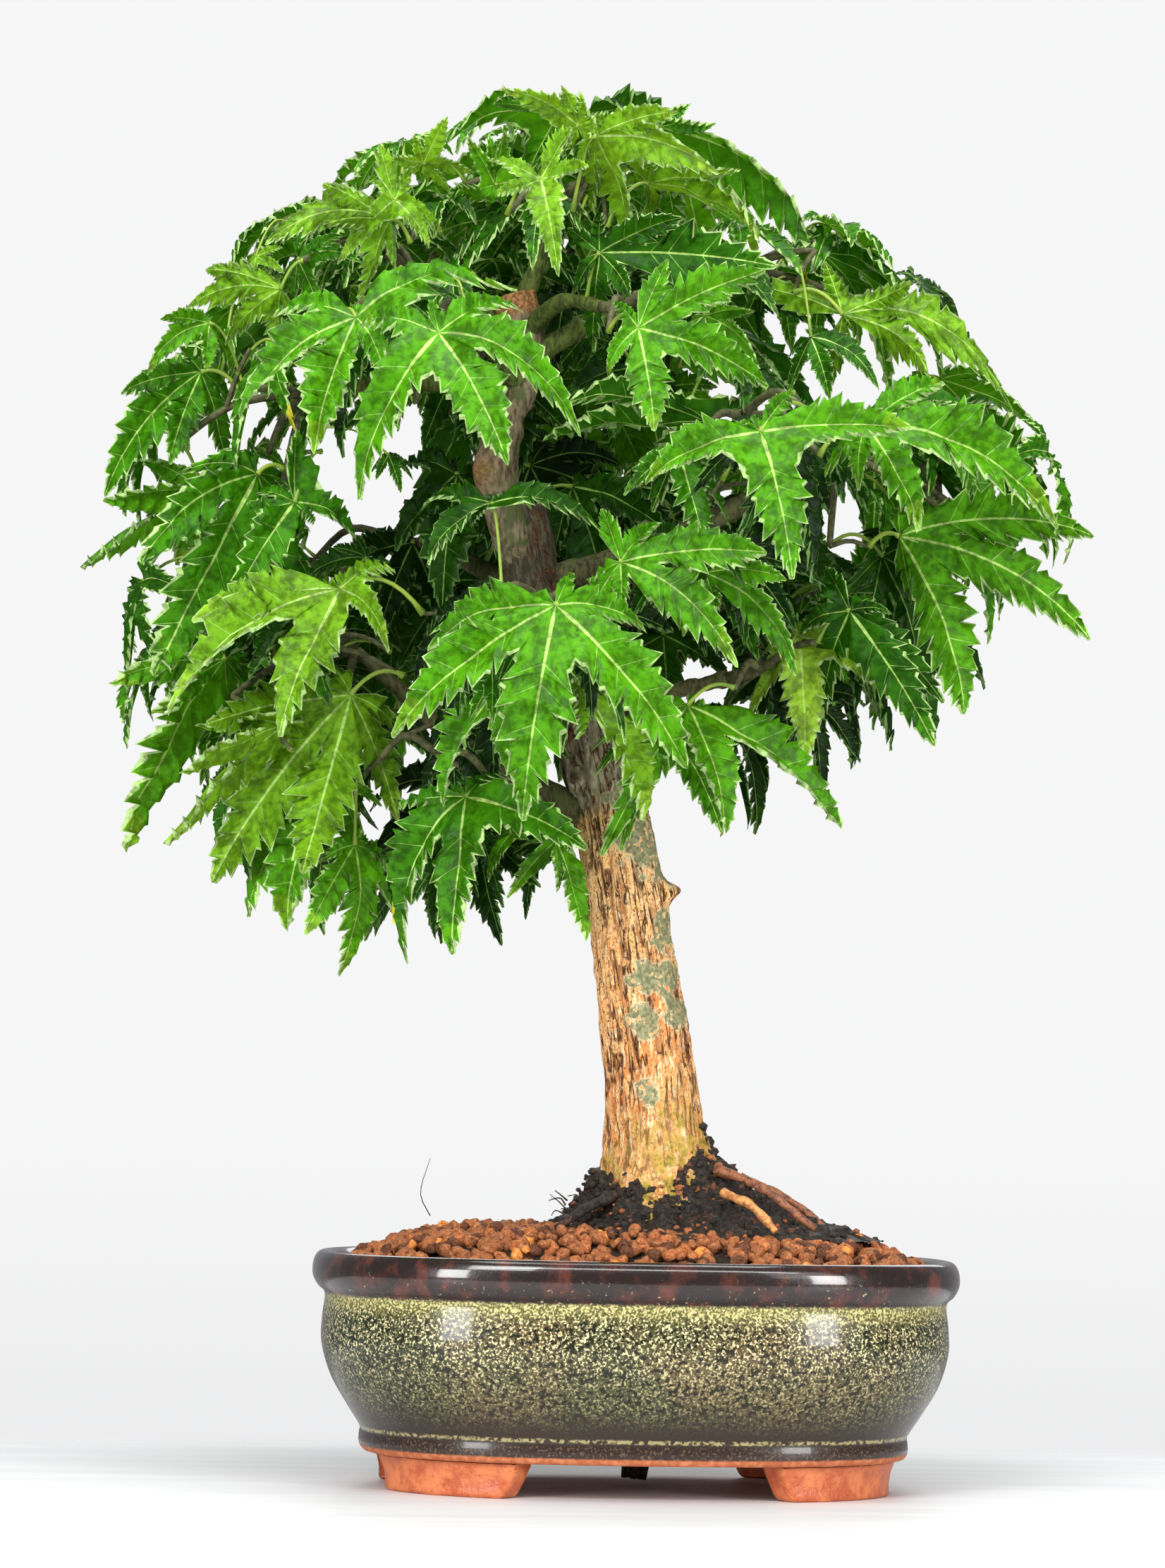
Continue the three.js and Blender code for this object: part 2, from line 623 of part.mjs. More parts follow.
// The crown's outline: its reach as seen from the front, rounded off to the front and the back
function insideCrown(points) {
  return points.every((point) => {
    const seen = seenFromFront(point);
    const turn = Math.atan2(seen.z - CROWN_CENTRE.z, seen.x - CROWN_CENTRE.x) / (2 * Math.PI);
    const place = ((turn + 1) % 1) * CROWN_OUTLINE.length;
    const before = Math.floor(place);
    const low = CROWN_OUTLINE[before % CROWN_OUTLINE.length];
    const high = CROWN_OUTLINE[(before + 1) % CROWN_OUTLINE.length];
    const reach = THREE.MathUtils.lerp(low, high, place - before);
    const deep = Math.min(1, Math.abs(point.y) / CROWN_HALF_DEPTH);
    const around = Math.hypot(seen.x - CROWN_CENTRE.x, seen.z - CROWN_CENTRE.z) / reach;
    return around ** CROWN_ROUNDING + deep ** CROWN_ROUNDING <= 1;
  });
}

function inClearing(points) {
  return points.some((point) => {
    const seen = seenFromFront(point);
    return CLEARINGS.some((gap) =>
      point.y < gap.before && Math.hypot((seen.x - gap.x) / gap.wide, (seen.z - gap.z) / gap.high) < 1);
  });
}

function boxesNear(a, b) {
  return [0, 1, 2].every((i) => a.min[i] - 2 * GAP < b.max[i] && b.min[i] - 2 * GAP < a.max[i]);
}

function clearOf(solid, others) {
  const box = solid.boundingBox();
  return others.every((other) =>
    !boxesNear(box, other.boundingBox()) || solid.minGap(other, 4 * GAP) > 1.5 * GAP);
}

function pointsOf(geometry) {
  const place = geometry.attributes.position;
  return Array.from({ length: place.count }, (_, i) => new THREE.Vector3().fromBufferAttribute(place, i));
}

// The points that a blade must keep inside its space and out of the clearings
function bladeTests(geometry) {
  const corners = pointsOf(geometry);
  const hub = corners[0];
  return [...corners, ...corners.map((corner) => hub.clone().lerp(corner, BLADE_INNER))];
}

// A mass starts as a stem that grows on from its bough, with its named leaves
function startMass(mass) {
  const bough = limbs.get(mass.name);
  const tangent = bough.curve.getTangentAt(1);
  const foot = bough.curve.getPointAt(1).addScaledVector(tangent, GAP);
  const head = foot.clone().addScaledVector(tangent, STEM_LENGTH);
  const radii = tapered(bough.thin, STEM_THIN);
  const stem = limb(new THREE.LineCurve3(foot, head), radii, STEM_SIDES, 1);
  return { ...mass, head, twigs: [solidOf(stem)], blades: [], leaves: [] };
}

const masses = MASSES.map(startMass);

function othersThan(mass) {
  const solids = [...limbs.values()].map((limb) => limb.solid);
  for (const other of masses) if (other !== mass) solids.push(...other.twigs, ...other.leaves);
  return solids;
}

// A seeded leaf has to stay in its mass's space and inside the crown, out of the clearings
function fitsCrown(mass, leaf) {
  const tests = bladeTests(leafGeometry(leaf));
  return insideSpace(mass, tests) && insideCrown(tests) && !inClearing(tests);
}

// A leaf is fused on if its petiole leads into its blade and it is clear of all the rest
function fuseLeaf(mass, others, from, leaf) {
  const way = petioleEnd(leaf.hub, from);
  if (way.dot(leaf.along) < 0 || way.dot(leaf.face) < PETIOLE_STEEPEST) return false;
  const bladeSolid = solidOf(leafGeometry(leaf));
  if (!clearOf(bladeSolid, [...mass.leaves, ...mass.twigs])) return false;
  const leafSolid = solidOf(leafGeometry(leaf, from));
  if (!clearOf(leafSolid, [...others, ...mass.blades])) return false;
  mass.blades.push(bladeSolid);
  mass.leaves.push(leafSolid);
  return true;
}

function addLeads(mass) {
  const others = othersThan(mass);
  for (const lead of mass.leads) {
    const hub = new THREE.Vector3(...lead.hub);
    const turn = THREE.MathUtils.degToRad(lead.turn);
    const leaf = leafAt(hub, { turn, lean: 0, roll: 0, size: lead.size, droop: LEAD_DROOP });
    fuseLeaf(mass, others, mass.head, leaf);
  }
}

// A shoot aims at its own part of the mass's space, one golden angle on from the last
function growShoot(mass, draw, spin, i) {
  const share = (i + 0.5) / SHOOTS;
  const level = THREE.MathUtils.lerp(...SHOOT_LEVELS, share) + drawn(draw, SHOOT_LEVEL_PLAY);
  const around = spin + i * GOLDEN_ANGLE + drawn(draw, SHOOT_SWING_PLAY);
  const flat = Math.sqrt(Math.max(0, 1 - level * level));
  const aim = new THREE.Vector3(flat * Math.cos(around), flat * Math.sin(around), level);
  aim.multiply(new THREE.Vector3(...mass.reach)).multiplyScalar(SHOOT_REACH);
  aim.add(new THREE.Vector3(...mass.centre));
  const lift = THREE.MathUtils.lerp(...SHOOT_LIFT, draw());
  const bend = mass.head.clone().lerp(aim, 0.5).addScaledVector(UP, lift);
  const curve = new THREE.CatmullRomCurve3([mass.head, bend, aim]);
  const solid = solidOf(limb(curve, tapered(...SHOOT_RADII), SHOOT_SIDES, 3));
  return { curve, solid, stands: !inClearing([bend, aim]), bears: false };
}

// One try at a leaf: what is drawn decides where its hub lies from the shoot, and how it hangs
function drawLeaf(draw, from) {
  const choice = {};
  for (const [name, limits] of Object.entries(LEAF_DRAWS)) {
    choice[name] = THREE.MathUtils.lerp(...limits, draw());
  }
  const away = from.clone().sub(CROWN_MIDDLE).divide(CROWN_REACH).normalize();
  const way = new THREE.Vector3(Math.cos(choice.swing), Math.sin(choice.swing), choice.rise);
  way.addScaledVector(away, OUTWARD_PULL).normalize();
  return leafAt(from.clone().addScaledVector(way, choice.stretch), choice);
}

// Each place on each shoot takes the first of its tries that fits, and shoots left bare go
function growMass(mass) {
  const draw = seededDraws(mass.seed);
  const others = othersThan(mass);
  const spin = draw() * 2 * Math.PI;
  const shoots = [];
  for (let i = 0; i < SHOOTS; i += 1) {
    const shoot = growShoot(mass, draw, spin, i);
    shoot.stands = shoot.stands && clearOf(shoot.solid, [...others, ...mass.blades]);
    if (shoot.stands) mass.twigs.push(shoot.solid);
    shoots.push(shoot);
  }
  for (const share of LEAF_PLACES) {
    for (const shoot of shoots) {
      const from = shoot.curve.getPointAt(share);
      let open = shoot.stands && mass.blades.length < MOST_LEAVES;
      for (let attempt = 0; attempt < TRIES; attempt += 1) {
        const leaf = drawLeaf(draw, from);
        if (!open || !fitsCrown(mass, leaf) || !fuseLeaf(mass, others, from, leaf)) continue;
        open = false;
        shoot.bears = true;
      }
    }
  }
  const bare = shoots.filter((shoot) => !shoot.bears).map((shoot) => shoot.solid);
  mass.twigs = mass.twigs.filter((twig) => !bare.includes(twig));
  return largestBody(wasm.Manifold.union([...mass.twigs, ...mass.leaves])).simplify(SIMPLEST);
}

// The whole object
const glaze = finish(0x4a4a34, 0.25);
const terracotta = finish(0xb5562f, 0.7);
const earth = finish(0x5a2f1f, 0.95);
const bark = finish(0xb98a58, 0.85);
const wood = finish(0x6d5a42, 0.85);
const leafGreen = finish(0x3f8f2f, 0.5);

const pot = new THREE.Group();
pot.add(named("pot", potBody(), glaze));
for (const [side, sideways] of [["left", -1], ["right", 1]]) {
  for (const [end, frontways] of [["front", -1], ["back", 1]]) {
    pot.add(named(`foot_${end}_${side}`, potFoot(sideways, frontways), terracotta.clone()));
  }
}
pot.add(named("soil", soilMound(), earth));
pot.add(named("root_tuft", rootTuft(), earth.clone()));

const plant = new THREE.Group();
plant.rotation.z = PLANT_TURN;
plant.add(named("trunk", geometryOf(trunk), bark));
plant.add(named("leader", geometryOf(limbs.get("leader").solid), wood.clone()));
for (const bough of BOUGHS) {
  plant.add(named(`bough_${bough.name}`, geometryOf(limbs.get(bough.name).solid), wood.clone()));
}
masses.forEach(addLeads);
for (const mass of masses) {
  plant.add(named(`leaves_${mass.name}`, geometryOf(growMass(mass)), leafGreen.clone()));
}

const bonsai = new THREE.Group();
bonsai.name = "maple_bonsai";
bonsai.add(pot, plant);
bonsai.updateMatrixWorld(true);
const extent = new THREE.Box3().setFromObject(bonsai, true);
const middle = extent.getCenter(new THREE.Vector3());
bonsai.position.set(-middle.x, -middle.y, -extent.min.z);

export default bonsai;
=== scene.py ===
# A lion's-head Japanese maple bonsai in its oval glazed pot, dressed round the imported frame.
# Lengths are in millimetres, in the plant's frame or the pot's, until a mesh is made of them.
import itertools
import math

import bmesh
import bpy
import numpy as np
from mathutils import Matrix, Vector
from mathutils.kdtree import KDTree


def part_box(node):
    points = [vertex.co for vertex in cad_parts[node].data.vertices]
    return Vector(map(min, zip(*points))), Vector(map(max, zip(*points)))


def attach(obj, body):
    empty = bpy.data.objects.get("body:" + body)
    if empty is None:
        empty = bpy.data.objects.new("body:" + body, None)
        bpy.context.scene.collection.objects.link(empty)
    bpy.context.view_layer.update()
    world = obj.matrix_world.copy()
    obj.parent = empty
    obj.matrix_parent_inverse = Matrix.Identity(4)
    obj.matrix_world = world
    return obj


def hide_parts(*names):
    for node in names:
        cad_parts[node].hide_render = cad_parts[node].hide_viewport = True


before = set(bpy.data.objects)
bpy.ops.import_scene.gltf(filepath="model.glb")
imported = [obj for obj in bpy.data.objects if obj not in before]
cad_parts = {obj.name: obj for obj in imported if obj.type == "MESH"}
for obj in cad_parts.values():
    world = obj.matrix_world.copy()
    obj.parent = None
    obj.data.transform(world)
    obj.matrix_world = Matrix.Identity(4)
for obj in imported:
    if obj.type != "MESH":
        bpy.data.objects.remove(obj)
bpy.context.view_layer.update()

# Frames: the pot lies along the row's axes, and the plant is turned a little in it
MM = 0.001
EAST, NORTH, UP = np.eye(3)
PLANT_TURN = math.radians(-5)
TURN_COS, TURN_SIN = math.cos(PLANT_TURN), math.sin(PLANT_TURN)
TURNED = np.array([[TURN_COS, -TURN_SIN, 0.0], [TURN_SIN, TURN_COS, 0.0], [0.0, 0.0, 1.0]])
pot_low, pot_high = (np.array(corner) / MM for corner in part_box("pot"))
POT_CENTRE = np.append((pot_low + pot_high)[:2] / 2, 0.0)


def from_plant(points):
    """Points of the plant's frame, in millimetres, as points of the row's frame, in metres."""
    return (np.asarray(points) @ TURNED.T + POT_CENTRE) * MM


def from_pot(points):
    """Points of the pot's frame, in millimetres, as points of the row's frame, in metres."""
    return (np.asarray(points) + POT_CENTRE) * MM


def to_plant(points):
    """Points of the row's frame, in metres, as points of the plant's frame, in millimetres."""
    return (np.asarray(points) / MM - POT_CENTRE) @ TURNED


# Camera: in front of the plant, a little above the rim and looking slightly up
EYE = np.array([-16.6, -1320.0, 101.0])
EYE_PITCH = math.radians(3.636)
EYE_ROLL = math.radians(1.15)
SENSOR = 36
LENS = 114.56
PICTURE = (1652, 2223)
FOCAL = LENS / SENSOR * PICTURE[1]


def camera_axes():
    """The camera's right, up and ahead, in the plant's frame."""
    ahead = np.array([0, math.cos(EYE_PITCH), math.sin(EYE_PITCH)])
    level_up = np.array([0, -math.sin(EYE_PITCH), math.cos(EYE_PITCH)])
    right = EAST * math.cos(EYE_ROLL) + level_up * math.sin(EYE_ROLL)
    up = level_up * math.cos(EYE_ROLL) - EAST * math.sin(EYE_ROLL)
    return right, up, ahead


def make_camera():
    right, up, ahead = camera_axes()
    axes = TURNED @ np.column_stack([right, up, -ahead])
    camera = bpy.data.objects.new("camera", bpy.data.cameras.new("camera"))
    camera.data.sensor_width = SENSOR
    camera.data.lens = LENS
    camera.data.clip_start = 0.05
    camera.matrix_world = Matrix.Translation(from_plant(EYE)) @ Matrix(axes.tolist()).to_4x4()
    bpy.context.scene.collection.objects.link(camera)
    bpy.context.scene.camera = camera


# Seeded draws and noise
MASK = 0xFFFFFFFF


def seeded_draws(seed):
    """Draws between 0 and 1, the same as the source's."""
    state = seed & MASK
    while True:
        state = (state + 0x6D2B79F5) & MASK
        mixed = ((state ^ (state >> 15)) * (1 | state)) & MASK
        mixed = ((mixed + (((mixed ^ (mixed >> 7)) * (61 | mixed)) & MASK)) ^ mixed) & MASK
        yield ((mixed ^ (mixed >> 14)) & MASK) / (MASK + 1)


def between(limits, share):
    return limits[0] + (limits[1] - limits[0]) * share


def smooth_step(low, high, value):
    share = np.clip((value - low) / (high - low), 0, 1)
    return share * share * (3 - 2 * share)


def noise(points, seed=0):
    """Smooth noise between -1 and 1, one lattice cell to a unit."""
    cell = np.floor(points).astype(np.int64)
    share = points - cell
    share = share * share * (3 - 2 * share)
    total = np.zeros(len(points))
    for corner in itertools.product((0, 1), repeat=3):
        i, j, k = (cell + np.array(corner)).T
        mixed = (i * 374761393 + j * 668265263 + k * 1440670441 + seed * 974711) & MASK
        mixed = ((mixed ^ (mixed >> 13)) * 1274126177) & MASK
        mixed = ((mixed ^ (mixed >> 16)) * 668265263) & MASK
        weight = np.where(corner, share, 1 - share).prod(axis=1)
        total += weight * ((mixed >> 8) & 0xFFFF) / 0xFFFF
    return total * 2 - 1


def rough_noise(points, octaves, seed=0):
    return sum(noise(points * 2**i, seed + i) / 2**i for i in range(octaves))


# Meshes
def make_piece(name, points, faces, materials, kinds=None, smooth=True):
    """A mesh from points in metres and lists of faces, each list with its faces' kinds of material."""
    mesh = bpy.data.meshes.new(name)
    corners = np.concatenate([some.ravel() for some in faces]).astype(np.int32)
    sizes = np.concatenate([np.full(len(some), some.shape[1]) for some in faces])
    starts = np.concatenate([[0], np.cumsum(sizes)[:-1]]).astype(np.int32)
    mesh.vertices.add(len(points))
    mesh.vertices.foreach_set("co", np.asarray(points, np.float32).ravel())
    mesh.loops.add(len(corners))
    mesh.loops.foreach_set("vertex_index", corners)
    mesh.polygons.add(len(sizes))
    mesh.polygons.foreach_set("loop_start", starts)
    for material in materials:
        mesh.materials.append(material)
    if kinds is not None:
        mesh.polygons.foreach_set("material_index", np.concatenate(kinds).astype(np.int32))
    mesh.polygons.foreach_set("use_smooth", np.full(len(sizes), smooth))
    mesh.update(calc_edges=True)
    mesh.validate()
    piece = bpy.data.objects.new(name, mesh)
    bpy.context.scene.collection.objects.link(piece)
    return piece


def give_values(piece, name, values):
    """A number for each vertex, which a material can read by its name."""
    layer = piece.data.attributes.new(name, "FLOAT", "POINT")
    layer.data.foreach_set("value", np.asarray(values, np.float32))


def settle(piece, slot, *nodes):
    """The piece belongs to the plant, and stands for the nodes."""
    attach(piece, "root")
    if nodes:
        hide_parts(*nodes)


def grid_faces(rows, columns, closed):
    """Four-cornered faces of a grid of points, closed round each row or open."""
    across = columns if closed else columns - 1
    i, j = np.meshgrid(np.arange(rows - 1), np.arange(across), indexing="ij")
    after = (j + 1) % columns
    corners = [i * columns + j, i * columns + after, (i + 1) * columns + after, (i + 1) * columns + j]
    return np.stack(corners, axis=-1).reshape(-1, 4)


class Heap:
    """Points, faces and their kinds, gathered into one piece."""

    def __init__(self):
        self.points = []
        self.faces = {3: [], 4: []}
        self.kinds = {3: [], 4: []}
        self.values = []
        self.count = 0

    def add(self, points, faces, kind=0, value=0.0):
        for some in faces:
            size = some.shape[1]
            self.faces[size].append(some + self.count)
            self.kinds[size].append(np.broadcast_to(kind, (len(some),)))
        self.points.append(points)
        self.values.append(np.broadcast_to(value, (len(points),)))
        self.count += len(points)

    def make(self, name, materials, smooth=True, placed=from_plant, attribute=None):
        faces = [np.concatenate(self.faces[size]) for size in (3, 4) if self.faces[size]]
        kinds = [np.concatenate(self.kinds[size]) for size in (3, 4) if self.kinds[size]]
        points = placed(np.concatenate(self.points))
        piece = make_piece(name, points, faces, materials, kinds, smooth)
        if attribute:
            give_values(piece, attribute, np.concatenate(self.values))
        return piece


# Curves through points, as the source bends its limbs along them
class Bend:
    """A centripetal curve through its points."""

    PARTS = 200

    def __init__(self, points):
        self.points = np.asarray(points, float)
        steps = np.linspace(0, 1, self.PARTS + 1)
        chords = np.linalg.norm(np.diff(self.at_parts(steps), axis=0), axis=1)
        self.steps = steps
        self.lengths = np.concatenate([[0], np.cumsum(chords)])

    def at_parts(self, parts):
        points = self.points
        last = len(points) - 1
        before = 2 * points[0] - points[1]
        beyond = 2 * points[last] - points[last - 1]
        padded = np.vstack([before, points, beyond])
        place = np.clip(np.atleast_1d(parts), 0, 1) * last
        at = np.minimum(np.floor(place).astype(int), last - 1)
        share = (place - at)[:, None]
        p0, p1, p2, p3 = (padded[at + i] for i in range(4))
        gap = lambda a, b: np.maximum(np.sum((a - b) ** 2, axis=1, keepdims=True) ** 0.25, 1e-4)
        d0, d1, d2 = gap(p0, p1), gap(p1, p2), gap(p2, p3)
        t1 = ((p1 - p0) / d0 - (p2 - p0) / (d0 + d1) + (p2 - p1) / d1) * d1
        t2 = ((p2 - p1) / d1 - (p3 - p1) / (d1 + d2) + (p3 - p2) / d2) * d1
        c2 = -3 * p1 + 3 * p2 - 2 * t1 - t2
        c3 = 2 * p1 - 2 * p2 + t1 + t2
        return p1 + t1 * share + c2 * share**2 + c3 * share**3

    def at(self, shares):
        wanted = np.atleast_1d(shares) * self.lengths[-1]
        return self.at_parts(np.interp(wanted, self.lengths, self.steps))

    def at_height(self, height):
        low, high = 0.0, 1.0
        for _ in range(30):
            middle = (low + high) / 2
            if self.at(middle)[0, 2] < height:
                low = middle
            else:
                high = middle
        return self.at(low)[0]

    def end_way(self):
        way = self.at_parts(1.0)[0] - self.at_parts(1 - 1e-4)[0]
        return way / np.linalg.norm(way)


def across_ways(points):
    """Two ways across a path at each of its points, turned as little as possible along it."""
    ways = np.gradient(points, axis=0)
    ways /= np.linalg.norm(ways, axis=1, keepdims=True)
    start = np.cross(ways[0], UP if abs(ways[0][2]) < 0.9 else EAST)
    firsts = [start / np.linalg.norm(start)]
    for way in ways[1:]:
        first = firsts[-1] - way * (firsts[-1] @ way)
        firsts.append(first / np.linalg.norm(first))
    firsts = np.array(firsts)
    return firsts, np.cross(ways, firsts)


def tube(points, radii, sides):
    """A closed tube along points: its points and its faces."""
    first, second = across_ways(points)
    angle = np.arange(sides) * 2 * math.pi / sides
    ring = first[:, None] * np.cos(angle)[:, None] + second[:, None] * np.sin(angle)[:, None]
    skin = points[:, None] + ring * np.asarray(radii).reshape(-1, 1, 1)
    rows = len(points)
    vertices = np.vstack([skin.reshape(-1, 3), points[:1], points[-1:]])
    quads = grid_faces(rows, sides, True)
    turn = np.arange(sides)
    after = (turn + 1) % sides
    foot = np.column_stack([after, turn, np.full(sides, rows * sides)])
    top = (rows - 1) * sides
    head = np.column_stack([top + turn, top + after, np.full(sides, rows * sides + 1)])
    return vertices, [quads, foot, head]


# Materials
class Socket:
    """One output of a material's node, so that maths on it is written as an expression."""

    def __init__(self, paint, output):
        self.paint = paint
        self.output = output

    def maths(self, operation, *others):
        settings = {"operation": operation}
        return self.paint.node("Math", settings, dict(enumerate((self, *others))))["Value"]

    def __add__(self, other):
        return self.maths("ADD", other)

    __radd__ = __add__

    def __mul__(self, other):
        return self.maths("MULTIPLY", other)

    __rmul__ = __mul__

    def __sub__(self, other):
        return self.maths("SUBTRACT", other)

    def __rsub__(self, other):
        return self * -1 + other

    def __truediv__(self, other):
        return self.maths("DIVIDE", other)

    def __pow__(self, other):
        return self.maths("POWER", other)

    def at_least(self, other):
        return self.maths("MAXIMUM", other)

    def size(self):
        return self.maths("ABSOLUTE")

    def step(self, low, high):
        """0 below low and 1 above high, smoothly between them, or the other way round."""
        rises = int(high > low)
        inputs = {"Value": self, "From Min": min(low, high), "From Max": max(low, high),
                  "To Min": 1 - rises, "To Max": rises}
        return self.paint.node("MapRange", {"interpolation_type": "SMOOTHSTEP"}, inputs)["Result"]

    def blend(self, low, high):
        """A colour between two, by this share."""
        settings = {"data_type": "RGBA", "clamp_factor": True}
        mix = self.paint.node("Mix", settings, {0: self, 6: low, 7: high})
        return mix[2]


class Paint:
    """A material: nodes are added through node(), and its shader is fed by name."""

    def __init__(self, name, **constants):
        self.material = bpy.data.materials.new(name)
        self.material.use_nodes = True
        self.tree = self.material.node_tree
        self.shader = self.tree.nodes["Principled BSDF"]
        self.feed({key.replace("_", " "): value for key, value in constants.items()})

    def node(self, kind, settings, inputs):
        node = self.tree.nodes.new("ShaderNode" + kind)
        for name, value in settings.items():
            setattr(node, name, value)
        for name, value in inputs.items():
            self.join(node.inputs[name], value)
        return {**{i: Socket(self, out) for i, out in enumerate(node.outputs)},
                **{out.name: Socket(self, out) for out in node.outputs if out.enabled}}

    def join(self, target, value):
        if isinstance(value, Socket):
            self.tree.links.new(value.output, target)
        elif target.type == "RGBA" and len(value) == 3:
            target.default_value = (*value, 1)
        else:
            target.default_value = value

    def feed(self, inputs):
        for name, value in inputs.items():
            self.join(self.shader.inputs[name], value)

    def place(self):
        """Where a point of the surface is, in metres."""
        return self.node("NewGeometry", {}, {})["Position"]

    def axes(self):
        split = self.node("SeparateXYZ", {}, {"Vector": self.place()})
        return split["X"], split["Y"], split["Z"]

    def stretched(self, scale):
        """The place with each axis scaled, so that a pattern on it is long one way."""
        inputs = {0: self.place(), 1: scale}
        return self.node("VectorMath", {"operation": "MULTIPLY"}, inputs)["Vector"]

    def speckle(self, size_mm, detail=2.0, roughness=0.5, vector=None):
        """Noise about 0.5 whose grains are that many millimetres."""
        inputs = {"Vector": vector or self.place(), "Scale": 1 / (size_mm * MM), "Detail": detail,
                  "Roughness": roughness}
        return self.node("TexNoise", {}, inputs)["Fac"]

    def value(self, name):
        """A number that the mesh holds for each vertex."""
        return self.node("Attribute", {"attribute_name": name}, {})["Fac"]

    def relief(self, height, depth_mm, strength=1.0):
        inputs = {"Height": height, "Distance": depth_mm * MM, "Strength": strength}
        self.feed({"Normal": self.node("Bump", {}, inputs)["Normal"]})

    def let_light_through(self, color, share):
        """Mixes in the light that shines through a leaf from behind."""
        glow = self.node("BsdfTranslucent", {}, {"Color": color})[0]
        body = Socket(self, self.shader.outputs["BSDF"])
        mix = self.node("MixShader", {}, {0: share, 1: body, 2: glow})[0]
        self.tree.links.new(mix.output, self.tree.nodes["Material Output"].inputs["Surface"])


MOTTLE_SHARES = (0.48, 1.5)


def leaf_paint(name, color, glow):
    """A leaf's green, finely mottled, satin on top, with light shining through."""
    paint = Paint(name, Specular_IOR_Level=0.14)
    mottle = (paint.speckle(2.0, 4.0, 0.62) * 0.6 + paint.speckle(6.5, 2.0) * 0.4).step(0.38, 0.62)
    dark, light = ([channel * share for channel in color] for share in MOTTLE_SHARES)
    paint.feed({"Base Color": mottle.blend(dark, light), "Roughness": 0.30 + mottle * 0.16})
    paint.relief(paint.speckle(1.4, 3.0), 0.35, 0.6)
    paint.let_light_through(glow, 0.22)
    return paint.material


# Leaf greens from dark to bright: colour, and what shines through. Partly differences among leaves, partly
# painted shade and painted light: the dark steps are copies for leaves in shade, the bright ones for lit
# leaves.
LEAF_TONES = [
    ((0.005, 0.024, 0.0008), (0.02, 0.12, 0.002)),
    ((0.011, 0.052, 0.0010), (0.05, 0.24, 0.004)),
    ((0.021, 0.104, 0.0015), (0.09, 0.40, 0.006)),
    ((0.038, 0.168, 0.0025), (0.15, 0.54, 0.008)),
    ((0.068, 0.255, 0.0040), (0.24, 0.68, 0.012)),
    ((0.145, 0.325, 0.0110), (0.42, 0.76, 0.020)),
    ((0.260, 0.460, 0.0300), (0.58, 0.84, 0.040)),
]
# Veins and margins of lit leaves, darker ones for leaves in the deepest tones as painted shade, and yellowed
# tips
LEAF_MARKS = {
    "leaf_midrib": ((0.42, 0.60, 0.16), (0.6, 0.85, 0.2)),
    "leaf_side_vein": ((0.25, 0.46, 0.10), (0.42, 0.7, 0.12)),
    "leaf_margin": ((0.42, 0.60, 0.22), (0.6, 0.85, 0.25)),
    "leaf_midrib_painted_shade": ((0.20, 0.34, 0.075), (0.3, 0.5, 0.1)),
    "leaf_side_vein_painted_shade": ((0.075, 0.19, 0.030), (0.15, 0.3, 0.05)),
    "leaf_margin_painted_shade": ((0.13, 0.25, 0.065), (0.25, 0.4, 0.1)),
    "leaf_yellowed": ((0.60, 0.55, 0.03), (0.8, 0.7, 0.05)),
}
BRIGHTEST = len(LEAF_TONES) - 1
MARKS = range(len(LEAF_TONES), len(LEAF_TONES) + len(LEAF_MARKS))
VEIN, SIDE_VEINS, MARGIN, PAINTED_SHADE_VEIN, PAINTED_SHADE_SIDE_VEINS, PAINTED_SHADE_MARGIN, YELLOWED = MARKS


def leaf_paints():
    tones = {f"leaf_tone_{i}": tone for i, tone in enumerate(LEAF_TONES)}
    return [leaf_paint(name, *colors) for name, colors in (tones | LEAF_MARKS).items()]


def petiole_paint():
    paint = Paint("petiole", Roughness=0.42)
    tint = paint.speckle(6.0, 1.0).step(0.35, 0.65)
    paint.feed({"Base Color": tint.blend((0.33, 0.45, 0.05), (0.22, 0.36, 0.045))})
    return paint.material


def twig_paint():
    paint = Paint("twig_bark", Roughness=0.7)
    tint = paint.speckle(2.0, 3.0).step(0.35, 0.65)
    paint.feed({"Base Color": tint.blend((0.050, 0.052, 0.018), (0.125, 0.120, 0.045))})
    paint.relief(paint.speckle(0.7, 3.0), 0.3, 0.6)
    return paint.material


